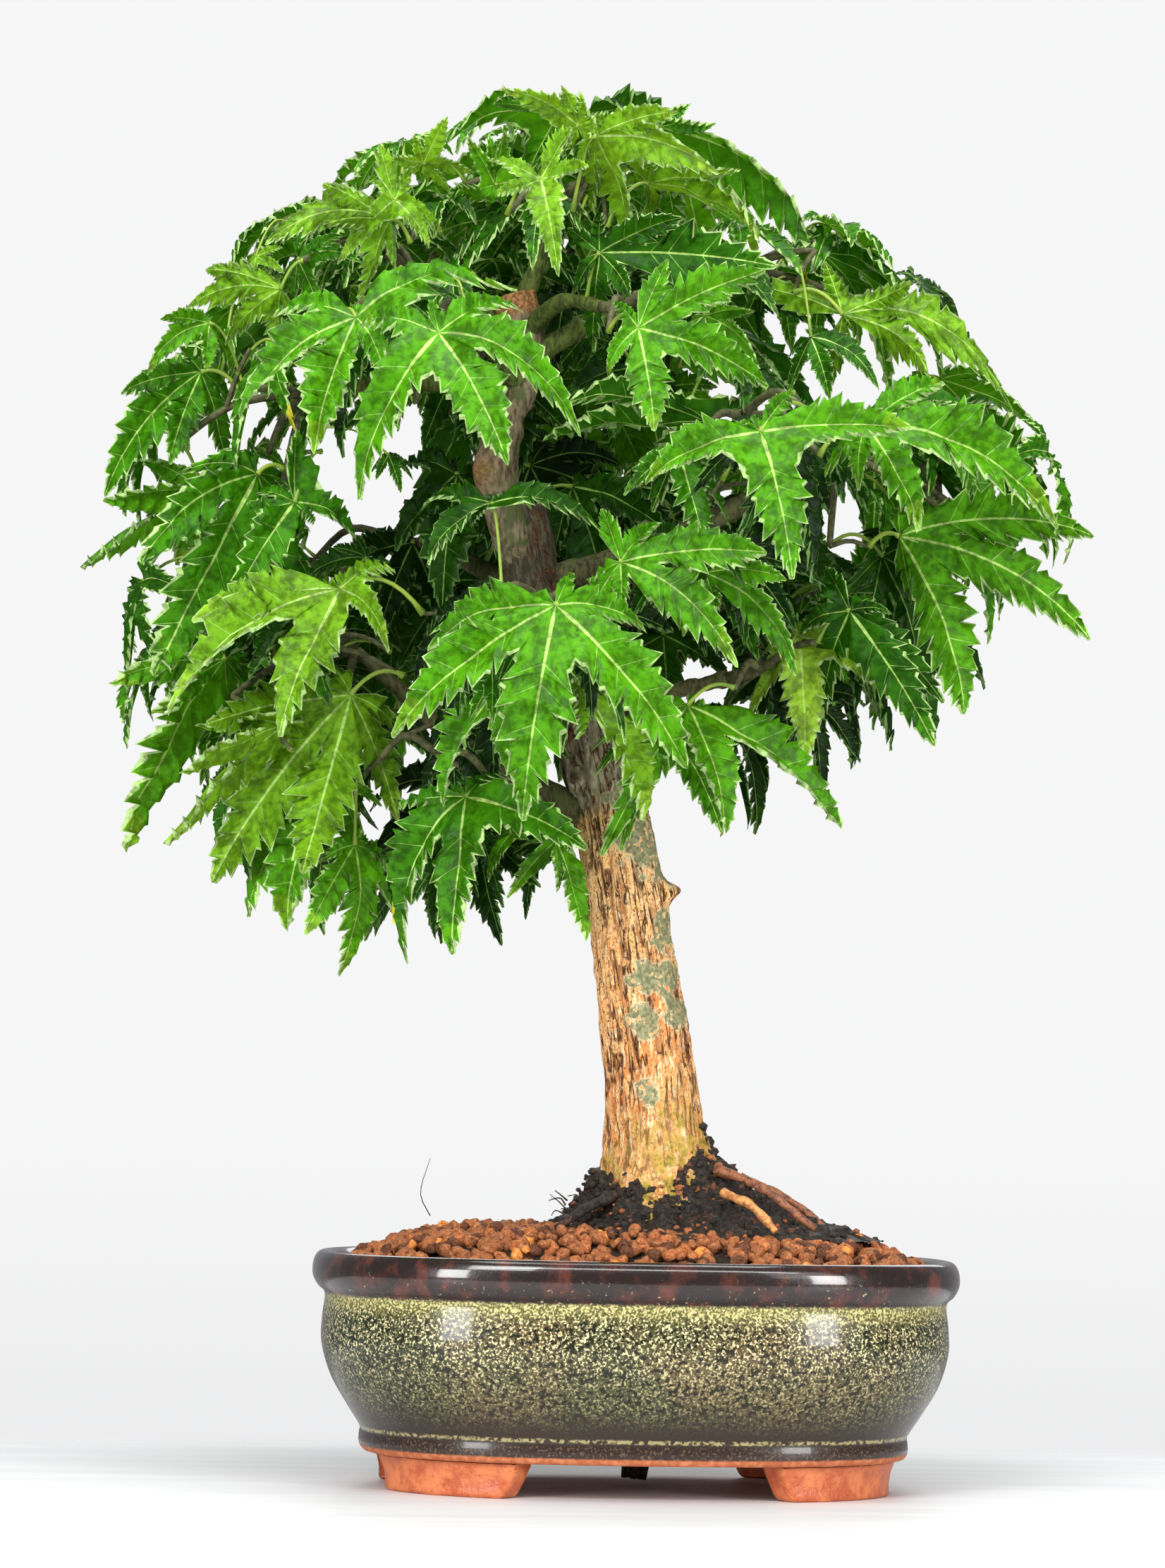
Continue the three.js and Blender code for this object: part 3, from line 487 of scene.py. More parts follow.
def trunk_paint():
    """Tan ridges with dark cracks, grey-green smooth patches, algae by the ground, grey above; painted light
    on the ridges under the crown and painted highlights on the raised grain.
    """
    paint = Paint("trunk_bark", Specular_IOR_Level=0.3)
    x, y, z = paint.axes()
    x = x - paint.value("core")
    flowing = paint.node("CombineXYZ", {}, {"X": x, "Y": y, "Z": z * 0.07})["Vector"]
    cleft = (paint.speckle(2.3, 2.5, 0.55, flowing) - 0.5).size().step(0.055, 0.012)
    cleft = cleft * paint.speckle(5.0, 2.0).step(0.36, 0.50)
    pits = paint.speckle(0.8, 1.0, 0.5, paint.stretched((1, 1, 0.5))).step(0.66, 0.72)
    cleft = cleft.at_least(pits * 0.8) * (1 - paint.value("patch") * 0.85)
    cleft = cleft * (1 - paint.value("algae") * 0.5)
    long_grain = paint.speckle(0.9, 4.0, 0.6, paint.stretched((1, 1, 0.22)))
    grain = paint.speckle(0.35, 3.0, 0.6, paint.stretched((1, 1, 0.4)))
    warm = paint.speckle(9.0, 2.0).step(0.38, 0.62)
    ridge = warm.blend((0.86, 0.44, 0.155), (0.70, 0.26, 0.070))
    # Painted light: the ridges are paler from 122 to 158 mm up, where the crown's shadow falls on the trunk
    ridge = (z.step(0.122, 0.158) * 0.7).blend(ridge, (1.0, 0.62, 0.26))
    # Painted highlight: the raised long grain, which the relief also lifts, is painted pale
    ridge = long_grain.step(0.46, 0.62).blend(ridge, (0.95, 0.66, 0.36))
    ridge = grain.step(0.53, 0.62).blend(ridge, (0.36, 0.11, 0.020))
    greyed = paint.speckle(1.6, 3.0, 0.6, paint.stretched((1, 1, 0.3))).step(0.4, 0.6)
    grey = greyed.blend((0.22, 0.185, 0.115), (0.40, 0.345, 0.23))
    bark = paint.value("greyed").step(0.0, 0.55).blend(ridge, grey)
    # Darker grey still near the top of the trunk
    dark_grey_above = greyed.blend((0.050, 0.042, 0.028), (0.125, 0.105, 0.070))
    bark = paint.value("greyed").step(0.6, 0.95).blend(bark, dark_grey_above)
    mossy = paint.speckle(1.2, 3.0).step(0.4, 0.6).blend((0.30, 0.24, 0.02), (0.56, 0.36, 0.06))
    bark = (paint.value("algae") * paint.speckle(4.0, 3.0).step(0.35, 0.6)).blend(bark, mossy)
    lichen = paint.speckle(1.0, 4.0).step(0.35, 0.65).blend((0.165, 0.170, 0.078), (0.35, 0.345, 0.18))
    patch = paint.value("patch") * paint.speckle(1.9, 3.0).step(0.36, 0.45)
    bark = patch.blend(bark, lichen)
    bark = ((patch - 0.45).size().step(0.4, 0.15) * 0.8).blend(bark, (0.72, 0.58, 0.34))
    hollow = paint.value("greyed").step(0.1, 0.5).blend((0.40, 0.155, 0.050), (0.10, 0.078, 0.048))
    bark = (paint.value("crack") * 0.8).blend(bark, hollow)
    dark = paint.speckle(0.8, 2.0).step(0.4, 0.6).blend((0.035, 0.016, 0.008), (0.16, 0.055, 0.018))
    bark = cleft.blend(bark, dark)
    paint.feed({"Base Color": paint.value("scar").blend(bark, (0.055, 0.025, 0.012)),
                "Roughness": 0.85 - patch * 0.2 - paint.value("algae") * 0.3})
    paint.relief(long_grain + grain * 0.5 - cleft * 0.8, 0.5, 0.8)
    return paint.material


def wood_paint(name, dark, light, green=False):
    """Bark of the upper wood, with fine cracks along it, green tinges and brown cuts."""
    paint = Paint(name, Specular_IOR_Level=0.3)
    streaks = paint.speckle(1.1, 4.0, 0.6, paint.stretched((1, 1, 0.3)))
    tint = streaks.step(0.36, 0.62).blend(dark, light)
    tint = paint.speckle(5.0, 2.0).step(0.5, 0.68).blend(tint, (0.10, 0.12, 0.04))
    if green:
        fresh = streaks.step(0.36, 0.62).blend((0.040, 0.056, 0.010), (0.120, 0.160, 0.030))
        tint = paint.axes()[2].step(0.268, 0.292).blend(tint, fresh)
    cut = paint.speckle(0.8, 3.0).step(0.4, 0.65).blend((0.22, 0.09, 0.03), (0.48, 0.24, 0.10))
    paint.feed({"Base Color": paint.value("scar").blend(tint, cut), "Roughness": 0.8})
    paint.relief(streaks, 0.6, 0.8)
    return paint.material


def root_paint(name, color, dark):
    paint = Paint(name, Roughness=0.55)
    streak = paint.speckle(1.4, 3.0, 0.6).step(0.42, 0.62)
    paint.feed({"Base Color": streak.blend(color, dark)})
    paint.relief(paint.speckle(0.8, 3.0), 0.4, 0.7)
    return paint.material


def muck_paint():
    """Wet black humus with brown crumbs."""
    paint = Paint("root_muck")
    crumb = paint.speckle(1.3, 4.0, 0.65)
    tint = crumb.step(0.42, 0.66).blend((0.010, 0.008, 0.006), (0.055, 0.034, 0.020))
    tint = paint.speckle(2.6, 2.0).step(0.62, 0.7).blend(tint, (0.17, 0.055, 0.022))
    paint.feed({"Base Color": tint, "Roughness": 0.28 + crumb * 0.5})
    paint.relief(paint.speckle(0.7, 4.0, 0.65), 0.9, 0.9)
    return paint.material


def granule_paint(name, color, light, dark):
    """A crumb of fired clay: pitted, paler where its fine relief rises and darker in its hollows."""
    paint = Paint(name, Specular_IOR_Level=0.3)
    fine = paint.speckle(0.9, 4.0, 0.65)
    tint = fine.step(0.5, 0.72).blend(color, light)
    tint = fine.step(0.46, 0.3).blend(tint, dark)
    paint.feed({"Base Color": tint, "Roughness": 0.42 + fine * 0.5})
    paint.relief(fine + paint.speckle(0.35, 3.0) * 0.4, 0.7, 0.9)
    return paint.material


def glaze_paint():
    """The pot's glaze by height: brown rim, cream break under it, speckled olive, dark foot."""
    paint = Paint("pot_glaze", Coat_Roughness=0.08, Specular_IOR_Level=0.25)
    x, _, z = paint.axes()
    height = z / MM
    drift = (paint.speckle(9.0, 3.0) - 0.5) * 5.0
    fray = (paint.speckle(1.3, 3.0, 0.6) - 0.5) * 5.0
    dots = paint.speckle(0.62, 2.0, 0.55)
    grit = paint.speckle(1.1, 2.0, 0.5)
    olive = paint.speckle(26.0, 2.0).step(0.4, 0.62).blend((0.102, 0.075, 0.031), (0.052, 0.057, 0.023))
    # Painted shade and painted reflection: the pot's ends are darker and bluer green where the oval turns
    # away from the lights
    ends = ((x - POT_CENTRE[0] * MM).size() / MM + drift * 2).step(52, 80)
    olive = ends.blend(olive, (0.030, 0.046, 0.024))
    fleck = height.step(26, 40).blend((0.35, 0.30, 0.145), (0.80, 0.69, 0.37))
    speckled = dots.step(0.50, 0.64).blend(olive, fleck)
    speckled = grit.step(0.50, 0.40).blend(speckled, (0.012, 0.012, 0.005))
    lower = (height + drift + fray).step(27, 16)
    speckled = lower.blend(speckled, (0.030, 0.019, 0.012))
    cream = dots.step(0.58, 0.44).blend((0.60, 0.53, 0.22), (0.12, 0.12, 0.035))
    band = (height + fray * 1.2 + drift * 0.5).step(44.0, 49.8)
    body = band.blend(speckled, cream)
    above = (height + fray * 0.22).step(49.3, 50.4)
    rim = paint.speckle(7.0, 4.0, 0.6).step(0.46, 0.72).blend((0.012, 0.005, 0.004), (0.11, 0.025, 0.013))
    worn = paint.speckle(1.0, 2.0).step(0.66, 0.74) * height.step(58, 52)
    rim = worn.blend(rim, (0.40, 0.34, 0.20))
    tint = above.blend(body, rim)
    groove = (height + fray * 0.2 - 15.2).size().step(0.7, 0.2)
    tint = (groove * grit.step(0.42, 0.56)).blend(tint, (0.34, 0.29, 0.13))
    foot = (height + fray * 0.1).step(14.4, 13.6)
    tint = foot.blend(tint, dots.step(0.5, 0.7).blend((0.026, 0.014, 0.010), (0.12, 0.075, 0.045)))
    clay = paint.speckle(2.0, 3.0).step(0.4, 0.65).blend((0.42, 0.115, 0.045), (0.58, 0.20, 0.085))
    bare = (height + fray * 0.12).step(11.1, 10.4)
    paint.feed({"Base Color": bare.blend(tint, clay),
                "Coat Weight": (height.step(50.5, 52.5) * 0.65 + 0.35) * (1 - bare),
                "Roughness": 0.16 + dots * 0.20 + bare * 0.35})
    paint.relief(dots * 0.6 + paint.speckle(5.0, 2.0), 0.22, 0.35)
    return paint.material


def terracotta_paint():
    paint = Paint("foot_terracotta", Specular_IOR_Level=0.5)
    blotch = paint.speckle(5.0, 4.0, 0.6)
    fine = paint.speckle(0.9, 3.0)
    tint = blotch.step(0.38, 0.66).blend((0.46, 0.093, 0.028), (0.66, 0.200, 0.070))
    tint = fine.step(0.62, 0.72).blend(tint, (0.36, 0.070, 0.022))
    damp = blotch.step(0.6, 0.46)
    paint.feed({"Base Color": tint, "Roughness": 0.62 - damp * 0.36 + fine * 0.1})
    paint.relief(fine + blotch, 0.45, 0.6)
    return paint.material


# Trunk and limbs, with the source's sizes
GROUND = 67.0
GAP = 0.3
TRUNK_PATH = [
    (6.4, 0, 58), (5.2, 0, 84), (2.6, -1, 110), (-0.8, -1, 132), (-6, 0, 162),
    (-10.6, 1, 184), (-17.5, 1, 206), (-28.5, 0, 233), (-35.3, 0, 257.8),
]
TRUNK_RADII = [
    (58, 17.6), (72, 15.8), (84, 13.8), (95, 12.8), (113, 11.9), (132, 11),
    (176, 10.1), (190, 9.9), (203, 8.7), (234, 7.5), (258, 7.3),
]
FLARE_TOP = 100
FLARE_POWER = 2.6
# Ridges of the root flare: bearing, reach and spread
FLARE_RIDGES = [(-6, 17, 34), (75, 8, 40), (172, 8, 38), (262, 9, 42)]
# Knots on the trunk: height, bearing, size, and how far each stands out as a share of its size
KNOTS = [(154.5, -8, 3.2, 1.35), (188, 232, 4.6, 0.62), (190, 292, 4.4, 0.62), (222, 100, 3.6, 0.62)]
LEADER_PATH = [
    (-33.5, -1, 244), (-37.8, -4.4, 253.5), (-41, -6, 267), (-39, -4.2, 280),
    (-34.6, -0.5, 292.5), (-34.8, 1.5, 305), (-37.5, 2, 315),
]
LEADER_RADII = [(244, 5.2), (262, 5.5), (268, 5.9), (280, 4.5), (296, 4.2), (307, 5.6), (315, 6)]
# Boughs: name, parent, height on it, tip, lift, and the radii at both ends
BOUGHS = [
    ("low_left", "trunk", 171, (-46, -5, 189), 3, 4.6, 2.2),
    ("left", "low_left", 184, (-71, 6, 214), -3, 3, 1.8),
    ("front", "trunk", 211, (-27, -38, 228), 4, 3.4, 1.9),
    ("low_right", "trunk", 197, (21, -8, 213), 3, 3.2, 1.8),
    ("front_right", "trunk", 223, (-1, -36, 241), 3, 3.2, 1.8),
    ("right", "trunk", 237, (42, -4, 270), -3, 4.2, 2.2),
    ("mid_right", "right", 253, (20, -30, 274), 2, 2.8, 1.7),
    ("far_left", "leader", 284, (-82, 0, 289), 5, 3, 1.8),
    ("upper_front", "leader", 290, (-52, -31, 302), 3, 2.7, 1.7),
    ("upper_left", "leader", 300, (-66, 4, 323), 2, 3, 1.8),
    ("upper_right", "leader", 297, (13, 6, 322), 3, 3.2, 1.9),
    ("crest_front", "leader", 305, (-14, -28, 308), 5, 2.6, 1.6),
    ("crest", "leader", 311, (-27, 2, 334), 0, 3, 1.8),
    ("upper_back", "leader", 303, (-28, 38, 316), 3, 2.8, 1.7),
    ("back_left", "trunk", 230, (-64, 38, 252), 3, 3.2, 1.8),
    ("back_right", "trunk", 216, (14, 40, 244), 3, 3.4, 1.8),
]
trunk_bend = Bend(TRUNK_PATH)
leader_bend = Bend(LEADER_PATH)
bends = {"trunk": trunk_bend, "leader": leader_bend}
for name, parent, height, tip, lift, _, _ in BOUGHS:
    start = bends[parent].at_height(height)
    bends[name] = Bend([start, (start + tip) / 2 + UP * lift, tip])


def around_gap(bearing, centre):
    return np.abs((bearing - centre + 540) % 360 - 180)


def trunk_radius(bearing, height):
    """The trunk's radius, in the source's way: a taper and the ridges of the root flare."""
    low = np.clip((FLARE_TOP - height) / (FLARE_TOP - GROUND), 0, 1.1)
    flare = sum(reach * np.exp(-((around_gap(bearing, centre) / spread) ** 2))
                for centre, reach, spread in FLARE_RIDGES)
    return np.interp(height, *np.array(TRUNK_RADII).T) + flare * low**FLARE_POWER


def trunk_centres(heights, samples):
    """Where the trunk's middle is at the heights, across and forward or back."""
    path = trunk_bend.at(np.linspace(0, 1, samples))
    return np.column_stack([np.interp(heights, path[:, 2], path[:, i]) for i in range(2)])


# Bark of the trunk
TRUNK_AROUND = 150
TRUNK_ROWS = 260
TRUNK_LOW = GROUND - 0.1
LEVEL_RINGS = (GROUND, GROUND + 12)
CRACK_DEPTH = 0.9
# Smooth patches as seen from the front: across, height, and half sizes both ways
SMOOTH_PATCHES = [
    (-1.0, 169.0, 6.4, 7.5), (5.0, 162.5, 2.6, 4.0), (3.2, 134.0, 7.6, 4.6), (0.9, 122.4, 5.2, 5.2),
    (8.6, 124.4, 3.6, 4.6), (2.2, 104.6, 3.2, 3.6), (6.6, 147.0, 4.2, 6.5), (-6.0, 181.0, 6.0, 4.0),
]
SAWN_TOP = 257.6
SAWN_RINGS = (0.93, 0.7, 0.4, 0.12)


def trunk_marks(points, core, bearing, height):
    """How cracked, patched, algae-grown and greyed the bark is at each point."""
    along = np.column_stack([points[:, 0] - core, points[:, 1], points[:, 2] * 0.10])
    bent = along + 0.5 * np.column_stack([noise(points / 5, s) for s in (11, 12, 13)])
    lines = np.abs(rough_noise(bent / 1.7, 2, 21))
    broken = smooth_step(-0.5, 0.1, noise(points * (0.3, 0.3, 0.11), 31))
    crack = smooth_step(0.20, 0.04, lines) * broken
    pits = smooth_step(0.50, 0.68, noise(points * (0.95, 0.95, 0.3), 41))
    crack = np.maximum(crack, pits * 0.7)
    patch = np.zeros(len(points))
    ragged = 0.44 * rough_noise(points / 3.4, 3, 51)
    for x, z, wide, high in SMOOTH_PATCHES:
        off = np.hypot((points[:, 0] - x) / wide, (points[:, 2] - z) / high) + ragged
        patch = np.maximum(patch, smooth_step(1.05, 0.85, off) * (points[:, 1] < 2))
    behind = rough_noise(points / 13.0, 2, 61)
    patch = np.maximum(patch, smooth_step(0.42, 0.5, behind + 0.1 * ragged) * (points[:, 1] > 2))
    algae = smooth_step(108, 80, height + 9 * noise(points / 7, 71) - 6 * np.cos(np.radians(bearing + 35)))
    ragged_edge = height + 7 * noise(points / 6, 81)
    greyed = 0.56 * smooth_step(174, 186, ragged_edge) + 0.44 * smooth_step(208, 226, ragged_edge)
    return crack * (1 - 0.9 * patch) * (1 - 0.45 * algae), patch, algae, greyed


def make_trunk(bark):
    heights = np.linspace(TRUNK_LOW, SAWN_TOP, TRUNK_ROWS)
    centres = np.column_stack([trunk_centres(heights, 800), heights])
    ways = np.gradient(centres, axis=0)
    ways /= np.linalg.norm(ways, axis=1, keepdims=True)
    east = EAST - ways * ways[:, :1]
    east /= np.linalg.norm(east, axis=1, keepdims=True)
    north = np.cross(ways, east)
    level = smooth_step(*LEVEL_RINGS, heights)[:, None]
    east = east * level + EAST * (1 - level)
    north = north * level + NORTH * (1 - level)
    angle = np.arange(TRUNK_AROUND) * 2 * math.pi / TRUNK_AROUND
    bearing = np.broadcast_to(np.degrees(angle), (TRUNK_ROWS, TRUNK_AROUND)).ravel()
    height = np.repeat(heights, TRUNK_AROUND)
    turn = np.stack([np.cos(angle), np.sin(angle)])[..., None]
    outward = (east[:, None] * turn[0] + north[:, None] * turn[1]).reshape(-1, 3)
    radius = trunk_radius(bearing, height)
    skin = np.repeat(centres, TRUNK_AROUND, axis=0) + outward * radius[:, None]
    core = np.repeat(centres[:, 0], TRUNK_AROUND)
    crack, patch, algae, greyed = trunk_marks(skin, core, bearing, height)
    lift = 0.42 * rough_noise(skin * (0.42, 0.42, 0.14), 3, 91) + 0.5 * noise(skin / 9, 95)
    lift -= CRACK_DEPTH * crack
    lift += 0.25 * smooth_step(0.05, 0.5, patch) * smooth_step(1.0, 0.6, patch)
    scar = np.zeros(len(skin))
    for knot_height, knot_bearing, size, stands_out in KNOTS:
        around = np.radians(around_gap(bearing, knot_bearing)) * radius
        off = np.hypot(around, height - knot_height) / size
        lift += size * stands_out * np.exp(-((off * 1.25) ** 2))
        lift += 0.5 * noise(skin / 1.3, 97) * smooth_step(1.5, 0.6, off)
        scar = np.maximum(scar, smooth_step(0.5, 0.2, off) * 0.75)
    skin += outward * lift[:, None]
    skin[:, 2] = np.maximum(skin[:, 2], TRUNK_LOW)
    rows = [skin]
    top = centres[-1] + UP * 0.2
    last = skin[-TRUNK_AROUND:]
    for share in SAWN_RINGS:
        ring = top + (last - top) * share
        rows.append(ring + UP * (0.35 * noise(ring / 1.1, 99) - 0.5 * (1 - share))[:, None])
    skin = np.vstack(rows)
    quads = grid_faces(TRUNK_ROWS + len(SAWN_RINGS), TRUNK_AROUND, True)
    piece = make_piece("trunk_bark", from_plant(skin), [quads], [bark])
    core = core * MM + POT_CENTRE[0] * MM
    # Each mark of the bark, and what it is on the sawn top
    marks = {"crack": (crack, 0), "core": (core, core[-1]), "patch": (patch, 0), "algae": (algae, 0),
             "greyed": (greyed, 1), "scar": (scar, 0.9)}
    for name, (values, on_top) in marks.items():
        give_values(piece, name, np.append(values, np.full(len(SAWN_RINGS) * TRUNK_AROUND, on_top)))
    settle(piece, "bark", "trunk")


def barked(bend, radius_at, around, rows, seed, cut_end=0.0):
    """A limb's skin with bark relief, and how cut it is at each point, over the last share of it."""
    shares = np.linspace(0, 1, rows)
    path = bend.at(shares)
    vertices, faces = tube(path, radius_at(shares, path[:, 2]), around)
    skin = vertices[: rows * around]
    core = np.repeat(path, around, axis=0)
    out = skin - core
    out /= np.linalg.norm(out, axis=1, keepdims=True)
    lift = 0.22 * rough_noise(skin * (0.8, 0.8, 0.35), 2, seed) + 0.35 * noise(skin / 6, seed + 5)
    lift += 0.5 * smooth_step(0.35, 0.6, noise(core / 4.0, seed + 7))
    vertices[: rows * around] += out * lift[:, None]
    cut = 0 * lift
    if cut_end:
        cut = smooth_step(1 - cut_end, 1 - cut_end * 0.5, np.repeat(shares, around))
    return vertices, faces, np.append(cut, [0.0, cut[-1]])


# A knob on the leader's left: its place, its spread and how far it stands out
KNOB_PLACE = np.array([-44.0, -8.5, 266.6])
KNOB_SPREAD = 3.6
KNOB_LIFT = np.array([-1.3, -1.6, 0.2])


def make_limbs(bark, young_bark):
    leader = Heap()
    radii = lambda shares, heights: np.interp(heights, *np.array(LEADER_RADII).T)
    vertices, faces, cut = barked(leader_bend, radii, 56, 130, 300, 0.10)
    knob = np.exp(-(((vertices - KNOB_PLACE) / KNOB_SPREAD) ** 2).sum(axis=1))
    vertices += knob[:, None] * KNOB_LIFT
    leader.add(vertices, faces, value=np.maximum(cut, knob))
    settle(leader.make("leader_bark", [bark], attribute="scar"), "wood", "leader")
    boughs = Heap()
    for i, (name, _, _, _, _, thick, thin) in enumerate(BOUGHS):
        taper = lambda shares, heights: between((thick, thin), shares)
        vertices, faces, cut = barked(bends[name], taper, 20, 44, 400 + 10 * i)
        boughs.add(vertices, faces, value=cut)
    piece = boughs.make("bough_bark", [young_bark], attribute="scar")
    settle(piece, "wood", *[f"bough_{row[0]}" for row in BOUGHS])


# The crown: the source's masses, with seed, centre and half sizes, and its rule for growth
MASSES = [
    ("front", 334, (-27, -62, 205), (50, 36, 40)),
    ("upper_front", 318, (-64, -48, 287), (50, 36, 38)),
    ("front_right", 335, (8, -56, 226), (40, 34, 38)),
    ("mid_right", 321, (27, -54, 268), (40, 34, 32)),
    ("crest_front", 333, (-2, -44, 304), (36, 32, 30)),
    ("low_left", 336, (-54, -16, 172), (50, 46, 42)),
    ("left", 321, (-101, -6, 203), (44, 52, 52)),
    ("far_left", 340, (-113, -6, 266), (42, 52, 44)),
    ("upper_left", 301, (-80, -2, 323), (44, 50, 34)),
    ("crest", 333, (-24, -4, 340), (54, 52, 32)),
    ("upper_right", 310, (40, 2, 316), (60, 52, 38)),
    ("right", 330, (72, -4, 255), (50, 52, 48)),
    ("low_right", 315, (38, -14, 207), (48, 48, 36)),
    ("upper_back", 321, (-26, 62, 308), (58, 40, 44)),
    ("back_left", 313, (-74, 60, 238), (52, 44, 50)),
    ("back_right", 317, (26, 62, 238), (56, 44, 50)),
]
STEM_LENGTH = 9
STEM_THIN = 1.5
SHOOTS = 5
SHOOT_RADII = (1.25, 0.85)
SHOOT_REACH = 0.52
SHOOT_LEVELS = (0.75, -0.55)
SHOOT_LEVEL_PLAY = 0.15
SHOOT_SWING_PLAY = 0.3
SHOOT_LIFT = (3, 8)
GOLDEN_ANGLE = math.pi * (3 - math.sqrt(5))
PETIOLE_RADIUS = 0.65
PETIOLE_ARCH = 0.22
PETIOLE_STEEPEST = -0.3
LEAF_PLACES = [1, 1, 0.7, 0.7, 0.4]
TRIES = 30
FOUND_WITHIN = 0.06
OUTWARD_PULL = 0.9
LEAF_DRAWS = {
    "swing": (0, 2 * math.pi), "rise": (-0.4, 0.7), "stretch": (10, 34), "turn": (-0.95, 0.95),
    "lean": (-0.25, 0.25), "roll": (-0.45, 0.45), "size": (40, 52), "droop": (0.15, 0.45),
}
CROWN_MIDDLE = np.array([-16.0, 0, 222])
CROWN_REACH = np.array([135.0, 115, 150])
FACE_FORE_AND_AFT = 0.5
FACE_TURNS_AT = 25
FACE_TURNS_OVER = 20
FACE_RISE = 0.35
HEADING_OUT = 0.6
CROWN_CENTRE = np.array([-16.0, 240.0])
CROWN_OUTLINE = np.array([134, 127, 118, 131, 130, 133, 134, 134, 121, 87, 79, 98])
CROWN_HALF_DEPTH = 124
CROWN_ROUNDING = 2.6
BLADE_SPACE = 1.7
# Clearings as seen from the front: across, height, half sizes, and how far back they reach
CLEARINGS = [
    (-78, 261, 14, 16, 200), (-63, 277, 5, 5, 200), (52, 297, 12, 9, 200), (52, 254, 5, 6, 200),
    (-119, 272, 6, 6, 200), (16, 212, 5, 4, 200), (-34.5, 249, 8, 12, 0), (-41, 273, 6, 6, 0),
    (-34.5, 291, 4, 5, 0), (-39, 314, 7, 4, 0),
]
# Lobes: bearing and length as a share of the middle lobe
LOBES = [(-130, 0.38), (-88, 0.7), (-45, 0.97), (0, 1), (45, 0.97), (88, 0.7), (130, 0.38)]
DROOP_SHORTENS = 0.3
LOBE_FOLD = 0.25


def turned_about(way, axis, angle):
    """Ways turned about their axes, row by row."""
    angle = np.asarray(angle).reshape(-1, 1)
    along = np.sum(way * axis, axis=1, keepdims=True)
    return way * np.cos(angle) + np.cross(axis, way) * np.sin(angle) + axis * along * (1 - np.cos(angle))


def unit(ways):
    return ways / np.linalg.norm(ways, axis=-1, keepdims=True)


def leaves_at(hubs, choice):
    """Leaves hang like shingles: facing out of the crown, with their middle lobes downhill."""
    hubs = np.atleast_2d(hubs)
    face = (hubs - CROWN_MIDDLE) / CROWN_REACH
    face[:, 1] += FACE_FORE_AND_AFT * np.clip((hubs[:, 1] - FACE_TURNS_AT) / FACE_TURNS_OVER, -1, 1)
    face[:, 2] = np.maximum(face[:, 2], 0) + FACE_RISE + choice["lean"]
    face = unit(face)
    downhill = unit((hubs - CROWN_MIDDLE) * (1, 1, 0)) * HEADING_OUT - UP
    along = unit(downhill - face * np.sum(downhill * face, axis=1, keepdims=True))
    along = turned_about(along, face, choice["turn"])
    face = turned_about(face, along, choice["roll"])
    whole = np.ones(len(hubs))
    return {"hub": hubs, "along": along, "face": face, "aside": np.cross(face, along),
            "size": whole * choice["size"], "droop": whole * choice["droop"]}


LOBE_BEARINGS = np.radians([bearing for bearing, _ in LOBES])
LOBE_LENGTHS = np.array([length for _, length in LOBES])


def one_leaf(leaves, i):
    """One of the leaves, with each lobe's way out of the hub, way across, length and bend."""
    leaf = {key: value[i] for key, value in leaves.items()}
    turn = LOBE_BEARINGS[:, None]
    leaf["ways"] = np.cos(turn) * leaf["along"] + np.sin(turn) * leaf["aside"]
    leaf["sides"] = np.cos(turn) * leaf["aside"] - np.sin(turn) * leaf["along"]
    leaf["lengths"] = LOBE_LENGTHS * leaf["size"]
    leaf["bends"] = np.tile(-UP * leaf["droop"], (len(LOBES), 1))
    return leaf


def blade_points(leaf, lobe, along, aside):
    """Points of a blade by lobe, and places along and across the lobe as shares of its length."""
    s, w = along[:, None], aside[:, None]
    points = leaf["ways"][lobe] * s * (1 - DROOP_SHORTENS * leaf["droop"] * s**2)
    points = points + leaf["sides"][lobe] * w + leaf["bends"][lobe] * s**2
    points = points + leaf["face"] * LOBE_FOLD * np.abs(w)
    return leaf["hub"] + points * leaf["lengths"][lobe][:, None]


def lobe_tips(leaf):
    one = np.ones(len(LOBES))
    return blade_points(leaf, np.arange(len(LOBES)), one, 0 * one)


def seen_from_front(points):
    scale = EYE[1] / (EYE[1] - points[:, 1])
    return EYE[0] + (points[:, 0] - EYE[0]) * scale, EYE[2] + (points[:, 2] - EYE[2]) * scale


def inside_crown(points):
    """Within the crown's outline as seen from the front, rounded off to the front and the back."""
    x, z = seen_from_front(points)
    turn = np.arctan2(z - CROWN_CENTRE[1], x - CROWN_CENTRE[0]) / (2 * math.pi)
    place = ((turn + 1) % 1) * len(CROWN_OUTLINE)
    low = np.floor(place).astype(int)
    near = CROWN_OUTLINE[low % len(CROWN_OUTLINE)]
    far = CROWN_OUTLINE[(low + 1) % len(CROWN_OUTLINE)]
    reach = near + (far - near) * (place - low)
    deep = np.minimum(1, np.abs(points[:, 1]) / CROWN_HALF_DEPTH)
    around = np.hypot(x - CROWN_CENTRE[0], z - CROWN_CENTRE[1]) / reach
    return around**CROWN_ROUNDING + deep**CROWN_ROUNDING <= 1


def in_clearing(points):
    x, z = seen_from_front(points)
    open_here = np.zeros(len(points), bool)
    for gap_x, gap_z, wide, high, before in CLEARINGS:
        open_here |= (points[:, 1] < before) & (np.hypot((x - gap_x) / wide, (z - gap_z) / high) < 1)
    return open_here


